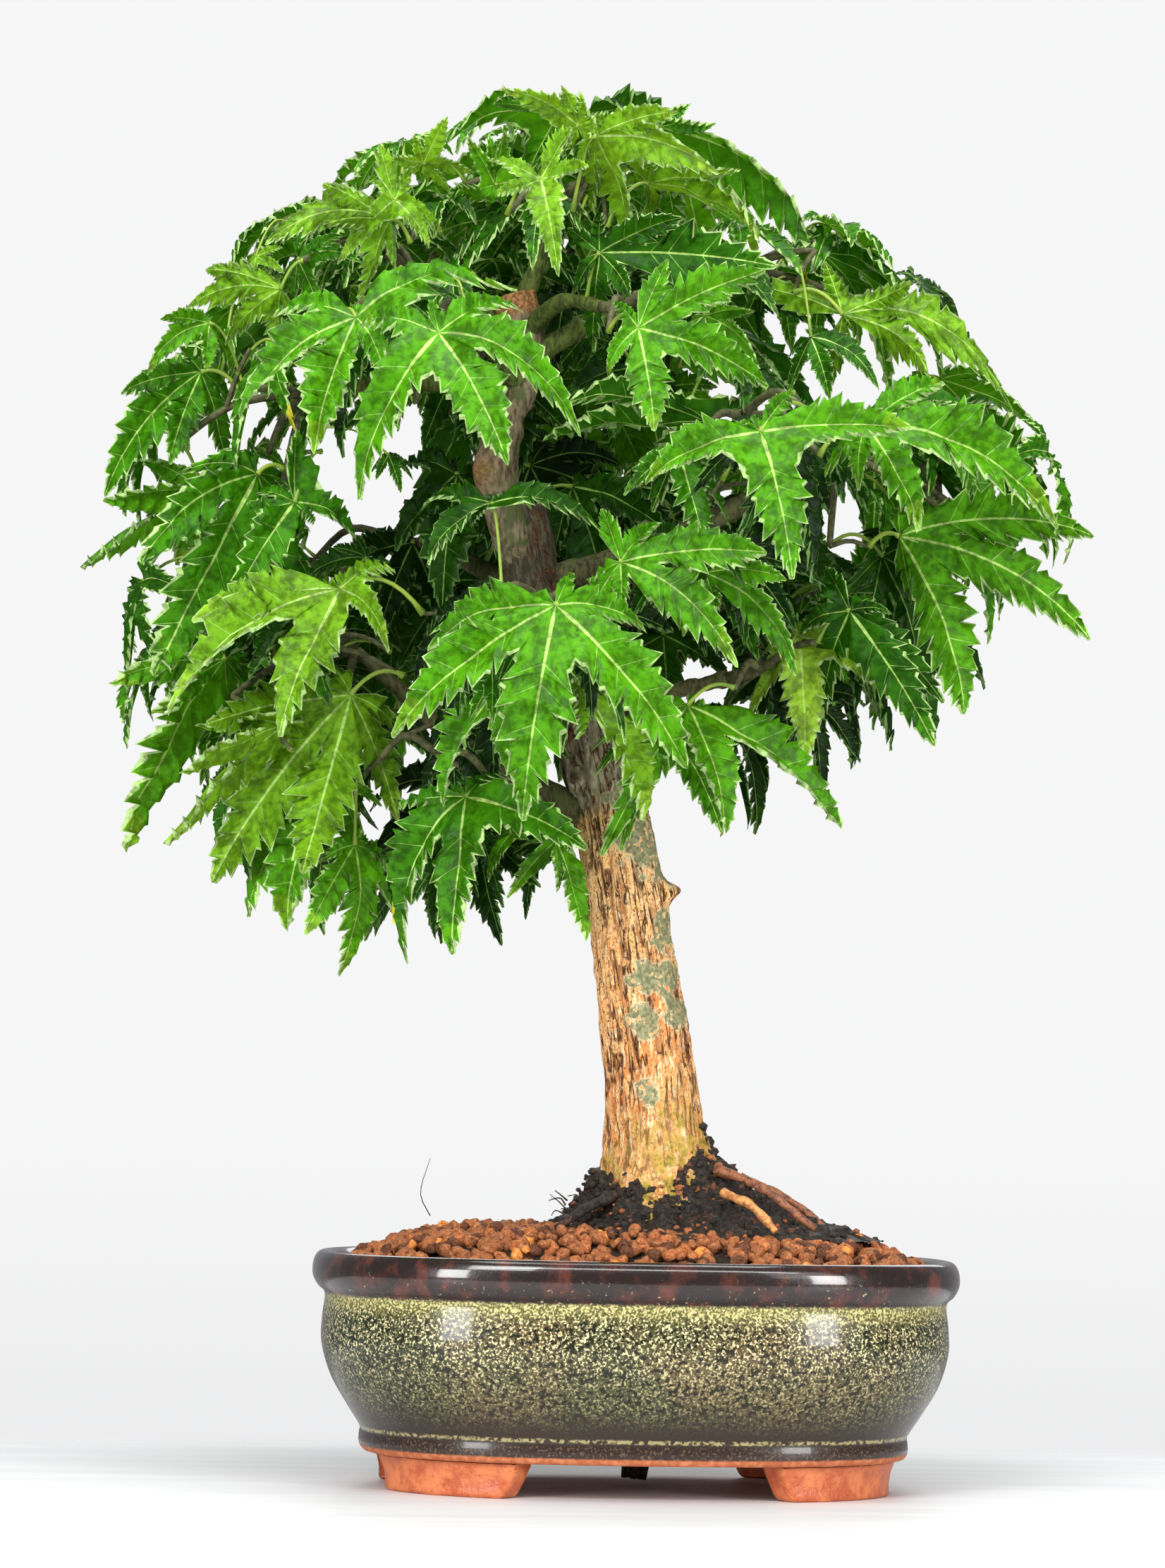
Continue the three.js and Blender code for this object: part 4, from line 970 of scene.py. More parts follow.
class Room:
    """Which small cells of the crown's space are taken."""

    CELL = 1.5
    LOW = np.array([-190.0, -160.0, 90.0])
    CELLS = (256, 216, 210)

    def __init__(self):
        self.taken = np.zeros(self.CELLS, bool)

    def cells(self, points):
        cells = np.floor((points - self.LOW) / self.CELL).astype(int)
        return np.clip(cells, 1, np.array(self.CELLS) - 2)

    def take(self, points):
        for shift in ((0, 0, 0), (1, 0, 0), (-1, 0, 0), (0, 1, 0), (0, -1, 0), (0, 0, 1), (0, 0, -1)):
            self.taken[tuple((self.cells(points) + shift).T)] = True

    def free(self, points):
        return not self.taken[tuple(self.cells(points).T)].any()


# The places where a blade's room is tested: along each lobe, on its midrib and both sides
TEST_ALONG = np.linspace(0.12, 1, 11)
TEST_WIDTH = np.interp(TEST_ALONG, (0, 0.45, 1), (0.06, 0.16, 0))
TEST_LOBE = np.repeat(np.arange(len(LOBES)), 3 * len(TEST_ALONG))
TEST_PLACE = np.tile(np.tile(TEST_ALONG, 3), len(LOBES))
TEST_ASIDE = np.tile(np.concatenate([TEST_WIDTH, 0 * TEST_WIDTH, -TEST_WIDTH]), len(LOBES))


def blade_tests(leaf):
    return blade_points(leaf, TEST_LOBE, TEST_PLACE, TEST_ASIDE)


def petiole_middle(hub, start):
    return (hub + start) / 2 + UP * np.linalg.norm(hub - start) * PETIOLE_ARCH


def petiole_path(leaf, start, steps=9):
    """From the twig to the blade's hub, arched."""
    hub = leaf["hub"]
    middle = petiole_middle(hub, start)
    share = np.linspace(0, 1, steps)[:, None]
    control = 2 * middle - (hub + start) / 2
    return start * (1 - share) ** 2 + 2 * control * share * (1 - share) + hub * share**2


def petiole_leads_in(leaf, start):
    way = unit(leaf["hub"] - petiole_middle(leaf["hub"], start))
    return way @ leaf["along"] >= 0 and way @ leaf["face"] >= PETIOLE_STEEPEST


def draw_leaves(draw, start, count, limits=LEAF_DRAWS):
    """Some tries at a leaf from one place on a twig."""
    drawn = np.array([[next(draw) for _ in limits] for _ in range(count)]).T
    choice = {key: between(pair, row) for (key, pair), row in zip(limits.items(), drawn)}
    away = unit((start - CROWN_MIDDLE) / CROWN_REACH)
    way = np.column_stack([np.cos(choice["swing"]), np.sin(choice["swing"]), choice["rise"]])
    way = unit(way + away * OUTWARD_PULL)
    return leaves_at(start + way * choice["stretch"][:, None], choice)


class Mass:
    """One mass of the crown: its stem, its shoots and its leaves."""

    def __init__(self, name, seed, centre, reach):
        self.name, self.seed = name, seed
        self.centre, self.reach = np.array(centre, float), np.array(reach, float)
        bend = bends[name]
        self.thin = next(row[6] for row in BOUGHS if row[0] == name)
        self.foot = bend.at(1.0)[0] + bend.end_way() * GAP
        self.head = self.foot + bend.end_way() * STEM_LENGTH
        self.draw = seeded_draws(seed)
        self.leaves = []
        self.kept = []
        self.twigs = []
        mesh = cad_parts[f"leaves_{name}"].data
        corners = to_plant([vertex.co for vertex in mesh.vertices])
        self.tips = KDTree(len(corners))
        for i, corner in enumerate(corners):
            self.tips.insert(corner, i)
        self.tips.balance()

    def kept_in_frame(self, leaf):
        """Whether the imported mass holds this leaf: its five long lobes' tips are there."""
        tips = lobe_tips(leaf)[1:6]
        return all(self.tips.find(tip)[2] < FOUND_WITHIN for tip in tips)

    def grow_shoots(self):
        spin = next(self.draw) * 2 * math.pi
        shoots = []
        for i in range(SHOOTS):
            share = (i + 0.5) / SHOOTS
            level = between(SHOOT_LEVELS, share) + (2 * next(self.draw) - 1) * SHOOT_LEVEL_PLAY
            around = spin + i * GOLDEN_ANGLE + (2 * next(self.draw) - 1) * SHOOT_SWING_PLAY
            flat = math.sqrt(max(0, 1 - level * level))
            aim = np.array([flat * math.cos(around), flat * math.sin(around), level])
            aim = aim * self.reach * SHOOT_REACH + self.centre
            lift = between(SHOOT_LIFT, next(self.draw))
            shoots.append(Bend([self.head, (self.head + aim) / 2 + UP * lift, aim]))
        return shoots

    def grow_kept_leaves(self):
        """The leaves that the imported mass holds, found again by the source's draws. Its leads aren't
        drawn, and the shown leaves stand for them."""
        self.shoots = self.grow_shoots()
        self.bearing = {}
        for share in LEAF_PLACES:
            for k, shoot in enumerate(self.shoots):
                start = shoot.at(share)[0]
                tries = draw_leaves(self.draw, start, TRIES)
                for i in range(TRIES):
                    leaf = one_leaf(tries, i)
                    if self.kept_in_frame(leaf):
                        self.kept.append((leaf, start, k, share))
                        break

    def bear(self, shoot, share):
        """Notes how far along a shoot something hangs."""
        self.bearing[shoot] = max(self.bearing.get(shoot, 0), share)

    def in_space(self, points):
        return np.linalg.norm((points - self.centre) / self.reach, axis=1) <= BLADE_SPACE


# The leaves that show in front, by mass. Each has how far forward or back its hub is, its size, its tone,
# which is partly painted shade and painted light, and places in the picture: its hub, its lobes' tips in
# their order round the leaf with how much each arches where that is told, and the foot of its petiole, with
# its depth, where that shows.
SHOWN_LEAVES = {
    "front": [
        (-91, 56, 4.2, (788, 858), {1: (605, 912), 2: (553, 1030), 3: (735, 1158), 4: (973, 1077),
         5: (918, 890), 6: (815, 812)}),
        (-46, 34, 3.8, (712, 972), {3: (622, 1138, 0.4), 4: (728, 1102)}),
    ],
    "upper_front": [
        (-74, 50, 4.4, (622, 472), {1: (508, 458), 2: (497, 690), 3: (724, 655), 4: (830, 600, 0.5),
         5: (742, 432), 6: (613, 425)}),
    ],
    "front_right": [
        (-66, 44, 3.8, (880, 797), {2: (878, 873), 3: (1042, 943, 0.4), 4: (1085, 785),
         5: (937, 738), 6: (855, 722)}),
        (-54, 34, 4.4, (1000, 812), {3: (1130, 958, 0.5), 4: (1112, 822), 2: (1010, 880)}),
    ],
    "mid_right": [
        (-82, 42, 4.0, (1078, 612), {2: (913, 677, 0.4), 3: (1138, 812), 4: (1292, 590),
         5: (1128, 552)}),
        (-26, 44, 2.0, (1205, 866), {0: (1168, 800), 1: (1132, 902, 0.3), 3: (1317, 1053, 0.2),
         5: (1262, 868)}),
        (-14, 40, 5.6, (1132, 900), {2: (1152, 1070), 3: (1298, 1008, 0.3)}),
        (-34, 46, 2.2, (1002, 598), {3: (764, 612, 0.1), 4: (800, 560)}),
        (-58, 30, 3.0, (962, 642), {3: (995, 776, 0.2), 2: (885, 700)}),
    ],
    "right": [
        (-54, 56, 4.4, (1228, 602), {1: (1216, 695, 0.5), 2: (1305, 747), 3: (1500, 737, 0.35),
         5: (1338, 540)}),
        (-8, 58, 4.0, (1275, 760), {5: (1358, 795), 2: (1552, 762, 0.35), 3: (1546, 925, 0.4),
         4: (1370, 1012)}, (1232, 775, -4)),
    ],
    "upper_right": [
        (-6, 56, 4.6, (1195, 446), {0: (1068, 398), 1: (1172, 372), 2: (1290, 398),
         3: (1447, 612, 0.75), 4: (1318, 545, 0.5), 5: (1210, 470)}, (1125, 415, -4)),
        (6, 20, 0.8, (1080, 422), {3: (1153, 462, 0.3), 4: (1140, 420), 2: (1100, 446)}),
        (-10, 26, 1.8, (1150, 478), {3: (1248, 550, 0.5), 2: (1180, 560)}),
    ],
    "crest_front": [
        (-72, 40, 3.6, (905, 465), {1: (868, 428), 2: (862, 530, 0.5), 3: (938, 608),
         4: (1088, 555), 5: (1088, 375), 6: (950, 365)}),
        (-58, 22, 3.8, (1000, 447), {3: (1076, 533, 0.5), 4: (1070, 442)}),
    ],
    "crest": [
        (-28, 46, 1.6, (850, 358), {2: (893, 430), 3: (1098, 362, 0.1), 4: (972, 316),
         5: (852, 300), 6: (803, 322)}),
        (-40, 34, 5.2, (767, 254), {1: (697, 227), 2: (703, 272), 3: (785, 390, 0.4), 4: (835, 235),
         5: (815, 182)}),
        (-30, 40, 5.0, (845, 193), {3: (1020, 250, 0.35), 4: (965, 160)}, (812, 300, -20)),
        (-4, 52, 3.0, (935, 180), {3: (1148, 348, 0.5), 4: (1012, 176)}),
        (-15, 26, 4.6, (820, 178), {1: (866, 162), 2: (824, 132), 3: (797, 124),
         4: (722, 134, 0.4)}),
        (-5, 38, 3.2, (792, 166), {3: (612, 216, 0.6), 4: (700, 150)}),
        (-12, 44, 4.8, (920, 260), {4: (1088, 342, 0.3), 5: (996, 262), 3: (1050, 240),
         2: (930, 215)}, (860, 322, -14)),
    ],
    "upper_left": [
        (-10, 22, 4.6, (600, 232), {3: (634, 168), 4: (590, 190)}),
        (-15, 26, 4.0, (702, 262), {1: (775, 232), 2: (718, 183), 3: (692, 196), 4: (664, 196),
         5: (645, 262)}),
        (-38, 26, 4.8, (560, 283), {1: (523, 256), 3: (609, 350, 0.4), 5: (590, 235),
         6: (543, 198)}),
        (-32, 40, 4.6, (553, 312), {2: (457, 320), 3: (367, 354, 0.55), 4: (455, 264),
         5: (540, 240)}, (582, 344, -26)),
        (-54, 46, 4.0, (505, 450), {1: (388, 440), 2: (342, 590, 0.4), 3: (445, 642),
         4: (548, 546, 0.4), 5: (736, 398, 0.9)}),
        (-20, 22, 3.2, (422, 368), {3: (516, 376, 0.6), 4: (482, 332), 5: (443, 316),
         6: (424, 320)}),
        (-16, 14, 4.6, (363, 364), {3: (402, 388), 4: (400, 350), 2: (352, 398)}),
    ],
    "far_left": [
        (-22, 32, 5.0, (398, 410), {3: (264, 436, 0.4), 4: (290, 388), 2: (312, 482)}),
        (-14, 26, 4.2, (297, 458), {3: (206, 535, 0.5), 4: (297, 524), 2: (226, 450)}),
        (-10, 46, 3.2, (285, 527), {2: (172, 562), 3: (150, 702, 0.4), 4: (240, 657)}),
        (-24, 58, 2.8, (365, 672), {2: (208, 800, 0.4), 3: (222, 955, 0.4), 1: (262, 668)},
         (402, 665, -20)),
        (-4, 38, 4.0, (285, 695), {3: (120, 805, 0.3), 2: (150, 712)}),
        (-30, 36, 3.0, (418, 712), {3: (315, 860, 0.2), 4: (448, 742), 5: (505, 770, 0.3),
         6: (425, 606)}, (455, 640, -22)),
        (-20, 12, 2.0, (551, 645), {3: (568, 698), 2: (535, 680)}),
        (-40, 32, 1.8, (697, 713), {1: (598, 712), 2: (606, 795, 0.4), 3: (668, 742),
         4: (852, 746, 0.3)}, (712, 846, -44)),
    ],
    "left": [
        (-44, 50, 4.9, (482, 835), {1: (270, 868, 0.3), 2: (232, 1000, 0.4), 3: (403, 1038),
         4: (552, 915, 0.5), 5: (558, 803)}, (600, 870, -30)),
        (-14, 54, 4.2, (318, 935), {3: (200, 1212, 0.5), 2: (225, 1020)}),
        (-25, 42, 5.2, (405, 1027), {2: (262, 1112, 0.2), 3: (238, 1210, 0.3)}),
        (-16, 62, 4.8, (497, 985), {3: (285, 1245, 0.2), 2: (432, 1248, 0.2), 4: (300, 1040)},
         (572, 958, -12)),
        (-4, 48, 3.8, (470, 1090), {3: (340, 1297, 0.3), 4: (397, 1310, 0.4)}),
        (-5, 20, 1.4, (520, 790), {3: (428, 825, 0.4), 4: (470, 776)}),
    ],
    "low_left": [
        (-10, 36, 4.2, (503, 1198), {1: (455, 1225), 2: (449, 1328), 3: (497, 1385, 0.3)},
         (505, 1108, -8)),
        (-34, 46, 2.6, (660, 1130), {1: (560, 1150), 2: (567, 1357, 0.6), 3: (648, 1356, 0.2),
         4: (826, 1206, 0.2), 5: (720, 1100)}),
        (-24, 14, 4.4, (724, 1182), {3: (690, 1250, 0.4), 4: (752, 1192)}),
        (-18, 30, 3.8, (788, 1192), {3: (833, 1332, 0.2), 2: (790, 1262)}),
    ],
    "low_right": [
        (-54, 40, 4.6, (822, 972), {2: (824, 1045), 3: (932, 1158, 0.2)}),
        (-34, 46, 3.6, (975, 1000), {3: (1043, 1182, 0.3), 4: (1198, 1168, 0.3)}),
        (-28, 38, 3.0, (928, 1020), {3: (1021, 1181, 0.3)}),
    ],
    # Leaves at the back in the darkest tones: painted shade deep in the crown
    "back_left": [
        (16, 50, 0.8, (648, 672), {1: (568, 660), 2: (560, 775), 3: (628, 862), 4: (712, 800)}),
        (34, 50, 0.4, (585, 770), {2: (470, 800), 3: (540, 905), 4: (640, 905)}),
        (26, 50, 0.6, (660, 930), {2: (560, 960), 3: (620, 1050), 4: (730, 1040)}),
    ],
    "back_right": [
        (18, 50, 0.8, (812, 690), {1: (760, 735), 2: (775, 812), 3: (872, 868), 4: (948, 760)}),
        (34, 50, 0.4, (905, 690), {2: (850, 800), 3: (960, 830), 4: (1040, 730)}),
        (30, 50, 0.6, (940, 900), {2: (860, 960), 3: (950, 1030), 4: (1040, 960)}),
    ],
    "upper_back": [
        (16, 46, 0.6, (740, 552), {2: (640, 620), 3: (742, 675), 4: (815, 610)}),
        (22, 44, 0.8, (900, 520), {2: (800, 560), 3: (872, 612), 4: (960, 600)}),
        (14, 44, 0.6, (640, 540), {2: (560, 560), 3: (600, 640), 4: (690, 650)}),
        (20, 40, 0.4, (800, 420), {2: (720, 470), 3: (790, 530), 4: (870, 480)}),
    ],
}
SHOWN_CHORD = 0.94
SHOWN_ARCH = 0.22
SHOWN_DROOP = 0.15
SHOWN_STEEPEST = 0.6
# Lobes that lean away from the eye, and those that come towards it
LOBES_BEHIND = (0, 1, 5, 6)
LEAST_FACE = 60
FACE_UPTURNED = 0.6 * UP - NORTH
# Lobes that the picture doesn't show lean back, hang and are shorter, most where they would stick out
HIDDEN_LEAN = 0.8 * NORTH
HIDDEN_SHORTER = 0.22
HIDDEN_HANG = 0.28
HIDDEN_CURL = 0.05
STICKING_OUT_SHORTER = 0.5
LONGEST_PETIOLE = 38
PETIOLE_ON_TWIG = 0.7
REACH_OF_LIMBS = (0.35, 0.5, 0.65, 0.8, 1.0)
# How many millimetres farther a limb may be that a petiole needn't turn back for
TURN_BACK_ALONG = 14
TURN_BACK_FACE = 20


def seen_ray(px, py):
    """The way in which the camera sees a pixel of the picture."""
    right, up, ahead = camera_axes()
    return unit(ahead + right * (px - PICTURE[0] / 2) / FOCAL + up * (PICTURE[1] / 2 - py) / FOCAL)


def seen_at(px, py, depth):
    ray = seen_ray(px, py)
    return EYE + ray * (depth - EYE[1]) / ray[1]


def shown_leaf(depth, size, hub_seen, tips):
    """A leaf whose hub and lobes' tips are seen where the picture shows them."""
    hub = seen_at(*hub_seen, depth)
    listed = sorted(tips)
    chords = {}
    for lobe in listed:
        ray = seen_ray(*tips[lobe][:2])
        near = (hub - EYE) @ ray
        gap = np.linalg.norm(EYE + ray * near - hub)
        reach = SHOWN_CHORD * size * LOBE_LENGTHS[lobe]
        off = min(math.sqrt(max(reach**2 - gap**2, 0)), SHOWN_STEEPEST * gap)
        chords[lobe] = EYE + ray * (near + (off if lobe in LOBES_BEHIND else -off)) - hub
    first = chords[3]
    face = sum((np.cross(chords[a], chords[b]) for a, b in zip(listed[:-1], listed[1:])), 0 * UP)
    if np.linalg.norm(face) < LEAST_FACE:
        face = np.cross(first, np.cross(FACE_UPTURNED, first))
    face = unit(face)
    along = unit(first - face * (first @ face))
    aside = np.cross(face, along)
    bearings = {lobe: math.atan2(chords[lobe] @ aside, chords[lobe] @ along) for lobe in listed}
    nominal = LOBE_BEARINGS[listed]
    turn = np.interp(LOBE_BEARINGS, nominal, [bearings[lobe] for lobe in listed])
    turn += LOBE_BEARINGS - np.clip(LOBE_BEARINGS, nominal[0], nominal[-1])
    flat = np.cos(turn)[:, None] * along + np.sin(turn)[:, None] * aside
    arch = np.array([[*tips[lobe], SHOWN_ARCH][2] if lobe in tips else 0.0 for lobe in range(len(LOBES))])
    hidden = np.array([float(lobe not in tips) for lobe in range(len(LOBES))])
    ways = unit(flat + UP * arch[:, None] + HIDDEN_LEAN * hidden[:, None])
    lengths = LOBE_LENGTHS * size * (1 - HIDDEN_SHORTER * hidden)
    bends = np.tile(-UP * HIDDEN_HANG - face * HIDDEN_CURL, (len(LOBES), 1))
    for lobe in listed:
        lengths[lobe] = np.linalg.norm(chords[lobe]) / SHOWN_CHORD
        bends[lobe] = chords[lobe] / lengths[lobe] - ways[lobe] * (1 - DROOP_SHORTENS * SHOWN_DROOP)
    leaf = {"hub": hub, "along": along, "face": face, "aside": aside, "size": float(size),
            "droop": SHOWN_DROOP, "ways": ways, "sides": unit(np.cross(face, ways)),
            "lengths": lengths, "bends": bends}
    sticks_out = (hidden > 0) & ~inside_crown(lobe_tips(leaf))
    leaf["lengths"] = np.where(sticks_out, lengths * STICKING_OUT_SHORTER, lengths)
    return leaf


class Cover:
    """How near the camera the shown leaves are, so that no other leaf grows in front of them."""

    CELL = 2.5
    LOW = np.array([-190.0, 60.0])
    CELLS = (150, 150)
    SHARE = 0.04
    NOTHING = 999.0

    def __init__(self):
        self.nearest = np.full(self.CELLS, self.NOTHING)

    def cells(self, points):
        seen = np.column_stack(seen_from_front(points))
        return np.clip(np.floor((seen - self.LOW) / self.CELL).astype(int), 1, np.array(self.CELLS) - 2)

    def add(self, leaf):
        points = blade_tests(leaf)
        for shift in itertools.product((-1, 0, 1), repeat=2):
            place = tuple((self.cells(points) + shift).T)
            np.minimum.at(self.nearest, place, points[:, 1])

    def hidden_by(self, leaf):
        points = blade_tests(leaf)
        nearest = self.nearest[tuple(self.cells(points).T)]
        return ((nearest < self.NOTHING) & (points[:, 1] < nearest - 1.0)).mean() > self.SHARE


def limb_places(masses):
    """Places that can bear a leaf, each with its mass and shoot where it is on one."""
    places = []
    for mass in masses.values():
        places.append((mass.head, mass, None, 0))
        for k, shoot in enumerate(mass.shoots):
            points = shoot.at(REACH_OF_LIMBS)
            places += [(point, mass, k, share) for point, share in zip(points, REACH_OF_LIMBS)]
        places += [(point, None, None, 0) for point in bends[mass.name].at((0.5, 0.8, 1.0))]
    places += [(point, None, None, 0) for point in leader_bend.at(np.linspace(0.4, 1, 6))]
    return places


def hang_shown_leaf(mass, places, depth, size, tone, hub_seen, tips, foot_seen=None):
    """Hangs a shown leaf on the limb that suits it best, by a twig where its petiole can't reach."""
    leaf = shown_leaf(depth, size, hub_seen, tips)
    leaf["tone"] = int(round(tone))
    target = seen_at(*foot_seen) if foot_seen else leaf["hub"]

    def cost(place):
        back = -unit(leaf["hub"] - place[0])
        away = np.linalg.norm(place[0] - target)
        away += TURN_BACK_ALONG * max(0, back @ leaf["along"])
        return away + TURN_BACK_FACE * max(0, back @ leaf["face"])

    start, owner, shoot, share = min(places, key=cost)
    if shoot is not None:
        owner.bear(shoot, share)
    foot = target if foot_seen else start
    way = leaf["hub"] - start
    if not foot_seen and np.linalg.norm(way) > LONGEST_PETIOLE:
        foot = leaf["hub"] - unit(way) * LONGEST_PETIOLE * PETIOLE_ON_TWIG - UP * 2
    if np.linalg.norm(foot - start) > 1:
        mass.twigs.append(Bend([start, (start + foot) / 2 + UP * TWIG_LIFT, foot]))
    mass.leaves.append((leaf, foot))


# Finer growth, which the source leaves out: side twigs on the shoots, with smaller leaves
FINE_SEED = 5000
FINE_TWIGS = 7
FINE_TWIG_LENGTH = (10, 26)
FINE_TWIG_RADII = (0.85, 0.55)
FINE_TWIG_STARTS = (0.3, 1)
FINE_TWIG_RISE = (-0.3, 0.9)
FINE_TWIG_OUTWARD = 0.7
# How far along a limb, and along a side twig, a fine leaf may hang
FINE_PLACES = (1, 0.85, 0.6, 0.4)
FINE_TWIG_PLACES = (1, 1, 0.55)
TWIG_LIFT = 1.5
FINE_TRIES = 40
FINE_DRAWS = {**LEAF_DRAWS, "size": (24, 44), "stretch": (7, 28), "turn": (-1.2, 1.2), "lean": (-0.3, 0.35)}


def fits(mass, room, cover, leaf, start):
    tests = blade_tests(leaf)
    if not (room.free(tests) and petiole_leads_in(leaf, start)) or cover.hidden_by(leaf):
        return False
    if not (mass.in_space(tests).all() and inside_crown(tests).all()):
        return False
    return not in_clearing(tests).any() and room.free(petiole_path(leaf, start)[3:-1])


def grow_finer(mass, room, cover):
    draw = seeded_draws(FINE_SEED + mass.seed)
    places = []
    limbs = [*enumerate(mass.shoots), (None, bends[mass.name])]
    for k, limb in limbs:
        places += [(limb.at(share)[0], None, k, share) for share in FINE_PLACES]
        for _ in range(FINE_TWIGS):
            share = between(FINE_TWIG_STARTS, next(draw))
            root = limb.at(share)[0]
            swing, rise = next(draw) * 2 * math.pi, between(FINE_TWIG_RISE, next(draw))
            away = unit((root - CROWN_MIDDLE) / CROWN_REACH) * FINE_TWIG_OUTWARD
            way = unit(np.array([math.cos(swing), math.sin(swing), rise]) + away)
            tip = root + way * between(FINE_TWIG_LENGTH, next(draw))
            path = Bend([root, (root + tip) / 2 + UP * TWIG_LIFT, tip])
            if not in_clearing(path.at(np.linspace(0.3, 1, 4))).any():
                places += [(path.at(at)[0], path, k, share) for at in FINE_TWIG_PLACES]
    borne = []
    for start, path, k, share in places:
        tries = draw_leaves(draw, start, FINE_TRIES, FINE_DRAWS)
        for i in range(FINE_TRIES):
            leaf = one_leaf(tries, i)
            if fits(mass, room, cover, leaf, start):
                room.take(blade_tests(leaf))
                mass.leaves.append((leaf, start))
                if k is not None:
                    mass.bear(k, share)
                if path and path not in borne:
                    borne.append(path)
                break
    mass.twigs += borne


# A leaf's pattern: each lobe is a net of rows from its midrib out to the teeth of its margin
SLOPES = math.tan(math.radians(22))
NOTCH_DEPTH = 0.25
BASE_NOTCH = 0.1
LOBE_WIDTHS = ((0.2, 0.28, 0.36, 0.46, 0.55, 0.65, 0.75, 0.85, 0.93, 1),
               (0.078, 0.100, 0.138, 0.155, 0.146, 0.124, 0.099, 0.070, 0.040, 0.0))
SMALL_LOBE_WIDER = 1.25
# Where the lobules of a long, a middling and a small lobe end, from its notch to its tip
LOBULES = {1: (0.19, 0.39, 0.58, 0.75, 0.9, 1), 0.97: (0.19, 0.39, 0.58, 0.75, 0.9, 1),
           0.7: (0.24, 0.47, 0.68, 0.86, 1), 0.38: (0.4, 0.75, 1)}
LAST_LOBULE = 0.968
VEIN_SLANT = 0.95
VEIN_WIDTH = 0.0062
RIB_WIDTH = 0.0070
EDGE_WIDTH = 0.0085
VALLEY = (0.48, 0.62)
SECOND_TOOTH = 0.98
SECOND_NOTCH = 0.82
POINT = (1.04, 1.24)
POINT_FORWARD = 0.16
POINT_BEFORE_VEIN = 0.985
# Where the rows by a notch lie, and where a lobule's small tooth and its gap lie along it
NOTCH_ROWS = (0.42, 0.76, 1)
TOOTH_AT = 0.4
GAP_AT = 0.5
# How much lobules differ in where they end, in how wide they are and in how far along they lie
END_PLAY = 0.03
WIDTH_PLAY = 0.24
SHIFT_PLAY = 0.16
# How far the rows' outer ends wave: a valley one way, and a tooth, a gap and a point the other
VALLEY_WAVE, TOOTH_WAVE, GAP_WAVE, POINT_WAVE = -1, 0.2, 0.3, 1
ROOT_STEP = 0.003
LAST_ROOTS = (0.996, 0.999)
COLUMNS = 5
PUFFED_AT = 0.55
FAN_FADE = 0.2
HALF_FANS = (math.radians(11), math.radians(36))
LAMINA, EDGE, RIB, SIDE_VEIN = range(4)


def lobe_rows(length, depths, draw):
    """Rows of a lobe: its root on the midrib, both margins' places, if a vein follows, and the wave."""
    wider = 0.95 + 0.12 * next(draw)
    wider *= SMALL_LOBE_WIDER if length < 0.5 else 1
    wide = lambda s: float(np.interp(s, *LOBE_WIDTHS)) * wider
    inside = lambda s, out: min(out, s * SLOPES * (0.97 + 0.4 * (s - 0.3)))
    notches = [depth / length for depth in depths]
    rows = [([(share * notch, share * notch * SLOPES) for notch in notches], False, 0)
            for share in NOTCH_ROWS]
    start = sum(notches) / 2
    ends = [start + (LAST_LOBULE - start) * end for end in LOBULES[length]]
    ends = [end + (next(draw) - 0.5) * END_PLAY for end in ends[:-1]] + ends[-1:]
    for k, high in enumerate(ends):
        low = ends[k - 1] if k else start
        span = high - low
        play = [1 + WIDTH_PLAY * (next(draw) - 0.5) for _ in range(2)]
        shift = [span * SHIFT_PLAY * (next(draw) - 0.5) for _ in range(2)]
        if k:
            rows.append(([(low + shift[i], inside(low, wide(low) * between(VALLEY, next(draw))))
                          for i in range(2)], False, VALLEY_WAVE))
        tooth, gap = low + TOOTH_AT * span, low + GAP_AT * span
        rows.append(([(tooth + shift[i], inside(tooth, wide(tooth) * SECOND_TOOTH * play[i]))
                      for i in range(2)], False, TOOTH_WAVE))
        rows.append(([(gap + shift[i], inside(gap, wide(gap) * SECOND_NOTCH * play[i]))
                      for i in range(2)], False, GAP_WAVE))
        point = high + POINT_FORWARD * span
        outs = [inside(point, wide(high) * between(POINT, next(draw)) * play[i]) for i in range(2)]
        before = point - 0.35 * VEIN_WIDTH
        rows.append(([(before + shift[i], outs[i] * POINT_BEFORE_VEIN) for i in range(2)], True, POINT_WAVE))
        rows.append(([(point + shift[i], outs[i]) for i in range(2)], False, POINT_WAVE))
    rows.append(([(1.0, 0.0)] * 2, False, 0))
    placed = []
    last = 0.0
    for margins, vein, wave in rows:
        root = max(at - out * VEIN_SLANT for at, out in margins)
        step = VEIN_WIDTH if placed and placed[-1][2] else ROOT_STEP
        last = min(max(last + step, root), LAST_ROOTS[0])
        placed.append((last, margins, vein, wave))
    placed[-1] = (LAST_ROOTS[1], *placed[-1][1:])
    return placed


